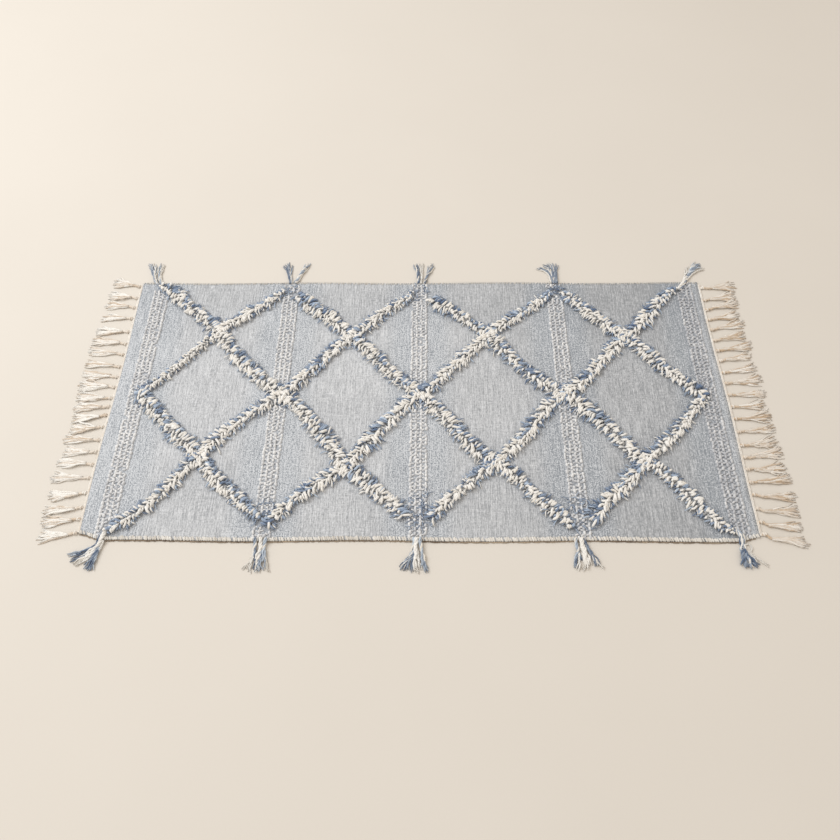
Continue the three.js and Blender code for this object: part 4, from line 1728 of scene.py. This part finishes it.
TASSELS = {
    "tassel_back_1": (
        cream(0.6, 2.4, (-566, 292), (-576, 306), (-583, 328), (-593, 352)),
        blue(0.25, 2.2, (-560, 284), (-577, 304), (-584, 320), (-593, 338), (-605, 349)),
        blue(0.55, 1.6, (-570, 296), (-580, 314), (-588, 334), (-597, 354)),
        blue(0.4, 1.5, (-566, 294), (-577, 312), (-582, 332), (-589, 352)),
        blue(0.6, 2.0, (-562, 296), (-571, 316), (-575, 334), (-575, 352), mixed=True),
        cream(0.4, 1.6, (-558, 296), (-568, 316), (-568, 336), (-566, 348)),
    ),
    "tassel_back_2": (
        blue(0.3, 2.2, (-280, 297), (-284, 310), (-289, 324), (-296, 338), (-304, 348)),
        blue(0.4, 1.8, (-281, 298), (-285, 316), (-289, 334), (-292, 353)),
        cream(0.7, 1.6, (-277, 297), (-281, 312), (-287, 330), (-297, 352)),
        blue(0.6, 1.6, (-278, 297), (-281, 314), (-283, 330), (-281, 350), mixed=True),
        blue(0.75, 2.9, (-271, 297), (-266, 310), (-259, 324), (-253, 337), (-246, 351),
             mixed=True),
        cream(0.6, 1.7, (-268, 297), (-262, 312), (-254, 328), (-243, 346)),
    ),
    "tassel_back_3": (
        blue(0.35, 2.5, (-3, 296), (-4, 312), (-5, 324), (-8, 337), (-12, 351), mixed=True),
        blue(0.3, 1.7, (-1, 297), (-1, 314), (-2, 328), (-6, 343), (-6, 352)),
        cream(0.75, 1.8, (2, 296), (4, 312), (3, 328), (1, 341), (1, 353)),
        cream(0.5, 1.3, (4, 297), (6, 316), (6, 334), (9, 352)),
        blue(0.45, 2.5, (10, 296), (14, 310), (18, 321), (25, 334), (33, 347), mixed=True),
        blue(0.3, 1.6, (11, 298), (15, 314), (18, 330), (21, 346)),
        cream(0.6, 1.6, (8, 297), (15, 316), (20, 332), (27, 351)),
    ),
    "tassel_back_4": (
        cream(0.8, 1.8, (284, 297), (284, 312), (277, 326), (262, 334), (254, 337)),
        blue(0.35, 2.0, (288, 296), (287, 312), (279, 328), (268, 335), (257, 339)),
        cream(0.75, 1.7, (289, 297), (288, 316), (281, 334), (270, 343)),
        blue(0.5, 1.9, (291, 296), (291, 314), (285, 333), (275, 342), (265, 346), mixed=True),
        blue(0.35, 1.8, (293, 296), (293, 316), (290, 334), (279, 350)),
        cream(0.8, 1.6, (295, 297), (295, 318), (291, 338), (284, 353)),
        blue(0.55, 1.8, (295, 296), (295, 320), (293, 338), (290, 351)),
        blue(0.2, 2.0, (297, 296), (298, 314), (299, 330), (303, 349)),
    ),
    "tassel_back_5": (
        cream(0.8, 3.0, (553, 279), (561, 286), (570, 300), (582, 314), (592, 325)),
        blue(0.2, 2.6, (557, 276), (566, 288), (574, 301), (587, 317), (600, 329), mixed=True),
        cream(0.7, 2.2, (566, 290), (572, 306), (580, 322), (590, 343)),
        blue(0.5, 2.4, (584, 316), (596, 328), (608, 337), (622, 342)),
        blue(0.7, 2.3, (582, 316), (594, 331), (606, 341), (617, 348)),
        blue(0.6, 2.2, (585, 318), (594, 334), (602, 343), (608, 351), mixed=True),
        cream(0.8, 1.5, (584, 318), (594, 336), (602, 346), (611, 353)),
        cream(0.35, 1.6, (590, 318), (602, 326), (614, 331), (626, 337)),
    ),
    "tassel_front_1": (
        cream(0.9, 3.4, (-548, -276), (-554, -292), (-558, -306), (-567, -319), (-579, -331),
              (-590, -345)),
        cream(0.75, 2.8, (-552, -280), (-557, -298), (-562, -312), (-572, -326), (-584, -337),
              (-597, -350)),
        blue(0.12, 2.2, (-556, -284), (-561, -300), (-568, -313), (-579, -320), (-592, -327),
             (-611, -333)),
        blue(0.85, 1.9, (-564, -308), (-574, -315), (-588, -322), (-600, -326), (-613, -329)),
        blue(0.15, 1.6, (-572, -322), (-580, -330), (-590, -334), (-607, -341)),
        cream(0.35, 1.7, (-570, -322), (-578, -332), (-586, -341), (-592, -350)),
        cream(0.95, 2.0, (-564, -316), (-568, -328), (-574, -338), (-580, -346)),
        blue(0.45, 2.4, (-560, -316), (-563, -328), (-568, -340), (-577, -354)),
        blue(0.3, 2.4, (-559, -318), (-561, -332), (-564, -344), (-568, -359)),
        blue(0.6, 2.2, (-557, -314), (-559, -330), (-561, -344), (-562, -357)),
        cream(0.85, 1.8, (-552, -302), (-556, -318), (-560, -330), (-562, -340)),
    ),
    "tassel_front_2": (
        blue(0.7, 2.9, (-287, -296), (-286, -306), (-285, -317), (-284, -329), (-287, -340),
             mixed=True),
        cream(0.4, 1.7, (-285, -318), (-287, -330), (-292, -341), (-302, -355)),
        cream(0.95, 1.9, (-286, -320), (-287, -336), (-290, -350), (-289, -362)),
        blue(0.05, 1.8, (-284, -318), (-282, -334), (-281, -346), (-283, -358)),
        cream(0.9, 3.2, (-276, -296), (-275, -308), (-275, -320), (-278, -334), (-278, -349)),
        cream(0.95, 1.8, (-275, -318), (-277, -334), (-277, -348), (-274, -361)),
        blue(0.35, 2.2, (-273, -318), (-272, -332), (-273, -346), (-268, -359)),
        blue(0.6, 1.8, (-274, -322), (-275, -338), (-276, -350), (-278, -360)),
        blue(0.75, 2.6, (-267, -297), (-268, -308), (-269, -318), (-267, -328), (-265, -340),
             mixed=True),
        blue(0.55, 2.0, (-268, -322), (-265, -336), (-263, -347), (-261, -356)),
        cream(0.3, 1.4, (-267, -324), (-262, -340), (-259, -352), (-256, -360)),
    ),
    "tassel_front_3": (
        blue(0.65, 2.7, (-8, -296), (-7, -308), (-9, -319), (-13, -327), mixed=True),
        blue(0.25, 1.8, (-10, -322), (-18, -332), (-24, -341), (-32, -354)),
        cream(0.95, 1.8, (-9, -320), (-16, -332), (-21, -341), (-28, -353)),
        blue(0.2, 1.5, (-11, -324), (-18, -336), (-22, -346), (-24, -358)),
        blue(0.3, 1.6, (-9, -324), (-15, -336), (-17, -346), (-18, -358)),
        blue(0.15, 1.8, (-7, -322), (-9, -333), (-11, -344), (-11, -360)),
        cream(0.9, 3.2, (-3, -296), (-4, -310), (-4, -326), (-4, -340), (-3, -355)),
        cream(0.45, 1.7, (-5, -318), (-6, -334), (-5, -348), (1, -362)),
        cream(0.85, 1.9, (-1, -318), (1, -334), (3, -346), (4, -357)),
        blue(0.6, 2.7, (3, -296), (5, -310), (7, -324), (9, -338), (9, -350), mixed=True),
        blue(0.35, 1.9, (6, -320), (9, -336), (13, -348), (19, -357)),
        blue(0.5, 1.8, (7, -324), (8, -338), (12, -350), (14, -360)),
    ),
    "tassel_front_4": (
        blue(0.7, 2.7, (274, -296), (276, -306), (278, -317), (276, -327), (274, -338),
             mixed=True),
        blue(0.1, 1.7, (276, -314), (279, -322), (281, -332), (282, -340)),
        blue(0.4, 2.0, (276, -322), (273, -334), (271, -344), (271, -353)),
        cream(0.9, 1.9, (278, -320), (278, -334), (277, -345), (273, -356)),
        cream(0.9, 3.4, (284, -296), (287, -310), (290, -325), (293, -339), (297, -353)),
        cream(0.8, 2.6, (283, -298), (286, -316), (288, -332), (289, -345), (286, -355)),
        cream(0.35, 1.7, (284, -322), (287, -336), (287, -346), (280, -357)),
        blue(0.3, 2.0, (289, -298), (294, -314), (299, -325), (304, -337), (308, -351)),
        cream(0.95, 1.7, (290, -300), (296, -318), (302, -331), (308, -343), (311, -352)),
        blue(0.2, 1.8, (288, -297), (297, -315), (304, -329), (309, -340), (313, -350)),
        cream(0.4, 1.3, (304, -332), (310, -341), (315, -347), (321, -352)),
    ),
    "tassel_front_5": (
        blue(0.3, 2.6, (548, -272), (557, -281), (563, -293), (565, -306), (566, -318)),
        blue(0.45, 2.2, (556, -276), (565, -286), (568, -296), (568, -308), mixed=True),
        cream(0.98, 2.6, (556, -280), (562, -290), (564, -301), (565, -313), (567, -324)),
        blue(0.95, 1.3, (563, -311), (560, -315), (560, -320), (564, -323)),
        cream(0.55, 1.3, (567, -309), (575, -306), (580, -312), (577, -319), (571, -323)),
        blue(0.1, 3.3, (564, -316), (568, -326), (573, -334), (578, -342), (585, -348)),
        blue(0.25, 3.0, (565, -320), (568, -332), (572, -342), (577, -352), mixed=True),
        cream(0.95, 1.3, (563, -320), (563, -331), (566, -341), (570, -349)),
        blue(0.15, 2.8, (562, -318), (560, -330), (559, -340), (559, -349)),
        blue(0.3, 2.5, (563, -322), (563, -336), (564, -345), (567, -352)),
        cream(0.9, 1.5, (567, -318), (573, -324), (578, -332), (584, -343)),
        cream(0.3, 1.6, (569, -318), (580, -328), (586, -334), (593, -340), (602, -347)),
    ),
}


@dataclass
class YarnTassels:
    """Ten tassels of pile yarn, each strand three yarns twisted together and frayed at its end.

    Lengths are in millimetres. The drop is how far past the cloth's edge a strand reaches
    the floor. The layer is how much higher each strand of a tassel lies than the one before,
    and the back stretch is how much longer the back tassels are past the edge.
    """

    finishes: Finishes
    yarns: int = 3
    turn_every: float = 21.0
    drop: float = 8.0
    clearance: float = 0.3
    layer: float = 0.15
    back_stretch: float = 0.2
    other_tone: float = 0.25
    tone_spread: float = 0.2
    form: StrandForm = field(default_factory=lambda: StrandForm(
        sides=5, rings=16, groove=0.25, turns_per_metre=22.0))
    seed: int = 101

    def build(self) -> list[bpy.types.Object]:
        """Builds every tassel.

        Returns:
            The tassels, back row first.
        """
        pieces = []
        for index, (name, strands) in enumerate(TASSELS.items()):
            rng = np.random.default_rng(self.seed + index)
            pieces.append(self._tassel(name, strands, rng))
        return pieces

    def _tassel(self, name: str, strands: Sequence[Strand],
                rng: np.random.Generator) -> bpy.types.Object:
        """Builds one tassel.

        Args:
            name: The tassel's CAD node.
            strands: Its strands, the lowest first.
            rng: The seeded source of random numbers.

        Returns:
            The tassel as one piece.
        """
        routes, radii, dyes, tones = [], [], [], []
        for layer, strand in enumerate(strands):
            other = rng.integers(self.yarns) if strand.mixed else self.yarns
            phase = rng.uniform(0, FULL_TURN)
            for yarn in range(self.yarns):
                way, thick = self._yarn(strand, yarn, phase, rng)
                way[:, 2] += self.layer * layer
                routes.append(way)
                radii.append(thick)
                odd = yarn == other
                dyes.append(1 - strand.dye.value if odd else strand.dye.value)
                middle = self.other_tone if odd else strand.tone - 0.06
                tones.append(rng.normal(middle, self.tone_spread))
        marks = {"tone": np.clip(tones, 0, 1), "dye": np.array(dyes, float)}
        piece = self.form.lay(f"{name}_yarn", np.array(routes), np.array(radii), marks)
        return dress(piece, self.finishes.tassel, (name,))

    def _yarn(self, strand: Strand, yarn: int, phase: float,
              rng: np.random.Generator) -> tuple[np.ndarray, np.ndarray]:
        """Gives one yarn of a strand: wound round the others, and loose towards its end.

        Args:
            strand: The strand.
            yarn: Which of its yarns.
            phase: Where round the strand the first yarn starts, in radians.
            rng: The seeded source of random numbers.

        Returns:
            The yarn's way and its half thickness, ring by ring.
        """
        trace = Trace(strand.way)
        share = np.linspace(0, 1, self.form.rings)
        along = share * trace.length * rng.uniform(0.86, 1.0)
        middle, ahead = trace.at(along)
        middle[:, 1] += np.maximum(middle[:, 1] - OUTLINE.width / 2, 0) * self.back_stretch
        across = np.stack([-ahead[:, 1], ahead[:, 0]], axis=1)
        angle = phase + yarn / self.yarns * FULL_TURN + along / self.turn_every * FULL_TURN
        tight = strand.radius * 0.6 * (1 - 0.5 * smooth_step(0.6, 0.9, share))
        place = yarn - (self.yarns - 1) / 2
        apart = place * strand.radius * 1.5 * smooth_step(0.4, 1.0, share)
        wander = rng.normal(0, 0.5) * np.sin(share * math.pi * 2)
        spots = middle + across * (np.cos(angle) * tight + apart + wander)[:, None]
        thick = strand.radius * rng.uniform(0.62, 0.84)
        thick = thick * np.interp(share, (0, 0.1, 0.8, 1), (0.8, 1.0, 0.9, 0.45))
        beyond = np.abs(spots[:, 1]) - OUTLINE.width / 2
        bed = (OUTLINE.thickness + self.clearance) * (1 - smooth_step(-1.0, self.drop, beyond))
        height = bed + thick + (np.sin(angle) + 1) * tight * 0.8
        return np.column_stack([spots, height]), thick


# Floor, light and camera


@dataclass(frozen=True)
class Lamp:
    """A soft square light, in metres and watts."""

    name: str
    place: Triple
    target: Triple
    size: float
    power: float
    colour: Colour


@dataclass
class Studio:
    """A pale floor, soft light from the back left, and the camera.

    Places are in metres, turns in degrees, and the lens and its sensor in millimetres.
    """

    floor_size: float = 30.0
    camera_place: Triple = (0.0146, -0.8310, 1.2446)
    camera_turn: Triple = (32.135, 0.408, 0.273)
    lens: float = 32.63
    sensor: float = 36.0
    sky: Colour = (1.0, 0.92, 0.83)
    sky_strength: float = 0.73
    lamps: Sequence[Lamp] = (
        Lamp("window_light", (-2.6, 0.9, 3.2), (0.0, 0.0, 0.0), 2.8, 99.0, (0.96, 0.985, 1.0)),
    )

    def build(self) -> None:
        """Builds the floor, the lamps, the sky and the camera."""
        self._camera()
        self._floor()
        for lamp in self.lamps:
            self._lamp(lamp)
        world = bpy.data.worlds.new("studio_sky")
        world.use_nodes = True
        back = world.node_tree.nodes["Background"]
        back.inputs[0].default_value = rgba(self.sky)
        back.inputs[1].default_value = self.sky_strength
        bpy.context.scene.world = world
        bpy.context.scene.view_settings.view_transform = "Standard"

    def _camera(self) -> None:
        """Makes the camera at the photograph's angle."""
        camera = bpy.data.cameras.new("studio_camera")
        camera.lens = self.lens
        camera.sensor_width = self.sensor
        camera.clip_start, camera.clip_end = 0.05, 100.0
        holder = bpy.data.objects.new("studio_camera", camera)
        holder.location = self.camera_place
        holder.rotation_euler = [math.radians(turn) for turn in self.camera_turn]
        bpy.context.scene.collection.objects.link(holder)
        bpy.context.scene.camera = holder

    def _floor(self) -> None:
        """Makes the floor."""
        bm = bmesh.new()
        bmesh.ops.create_grid(bm, x_segments=4, y_segments=4, size=self.floor_size / 2)
        mesh = bpy.data.meshes.new("floor")
        bm.to_mesh(mesh)
        bm.free()
        mesh.materials.append(FloorFinish().material())
        floor = bpy.data.objects.new("floor", mesh)
        bpy.context.scene.collection.objects.link(floor)

    @staticmethod
    def _lamp(lamp: Lamp) -> None:
        """Makes one lamp that faces its target.

        Args:
            lamp: The light, its place and its target.
        """
        light = bpy.data.lights.new(lamp.name, "AREA")
        light.shape = "SQUARE"
        light.size = lamp.size
        light.energy = lamp.power
        light.color = lamp.colour
        holder = bpy.data.objects.new(lamp.name, light)
        holder.location = lamp.place
        aim = Vector(lamp.target) - Vector(lamp.place)
        holder.rotation_euler = aim.to_track_quat("-Z", "Y").to_euler()
        bpy.context.scene.collection.objects.link(holder)


def main() -> None:
    """Builds the studio and the rug, piece by piece."""
    logging.basicConfig(level=logging.INFO, format="%(name)s %(message)s")
    Studio().build()
    finishes = Finishes()
    cloth = GroundCloth(finishes).build()
    pieces = [StitchBands(finishes).build()]
    pieces += Selvedges(finishes).build()
    pieces += PileLattice(finishes).build()
    pieces += FringeEnd(
        finishes, End.LEFT, LEFT_BUNDLES, fan=12.0, opening=1.2, tone=0.92).build()
    pieces += FringeEnd(
        finishes, End.RIGHT, RIGHT_BUNDLES, fan=12.5, opening=1.6, tone=0.57, bow=2.5).build()
    pieces += YarnTassels(finishes).build()


if __name__ == "__main__":
    main()
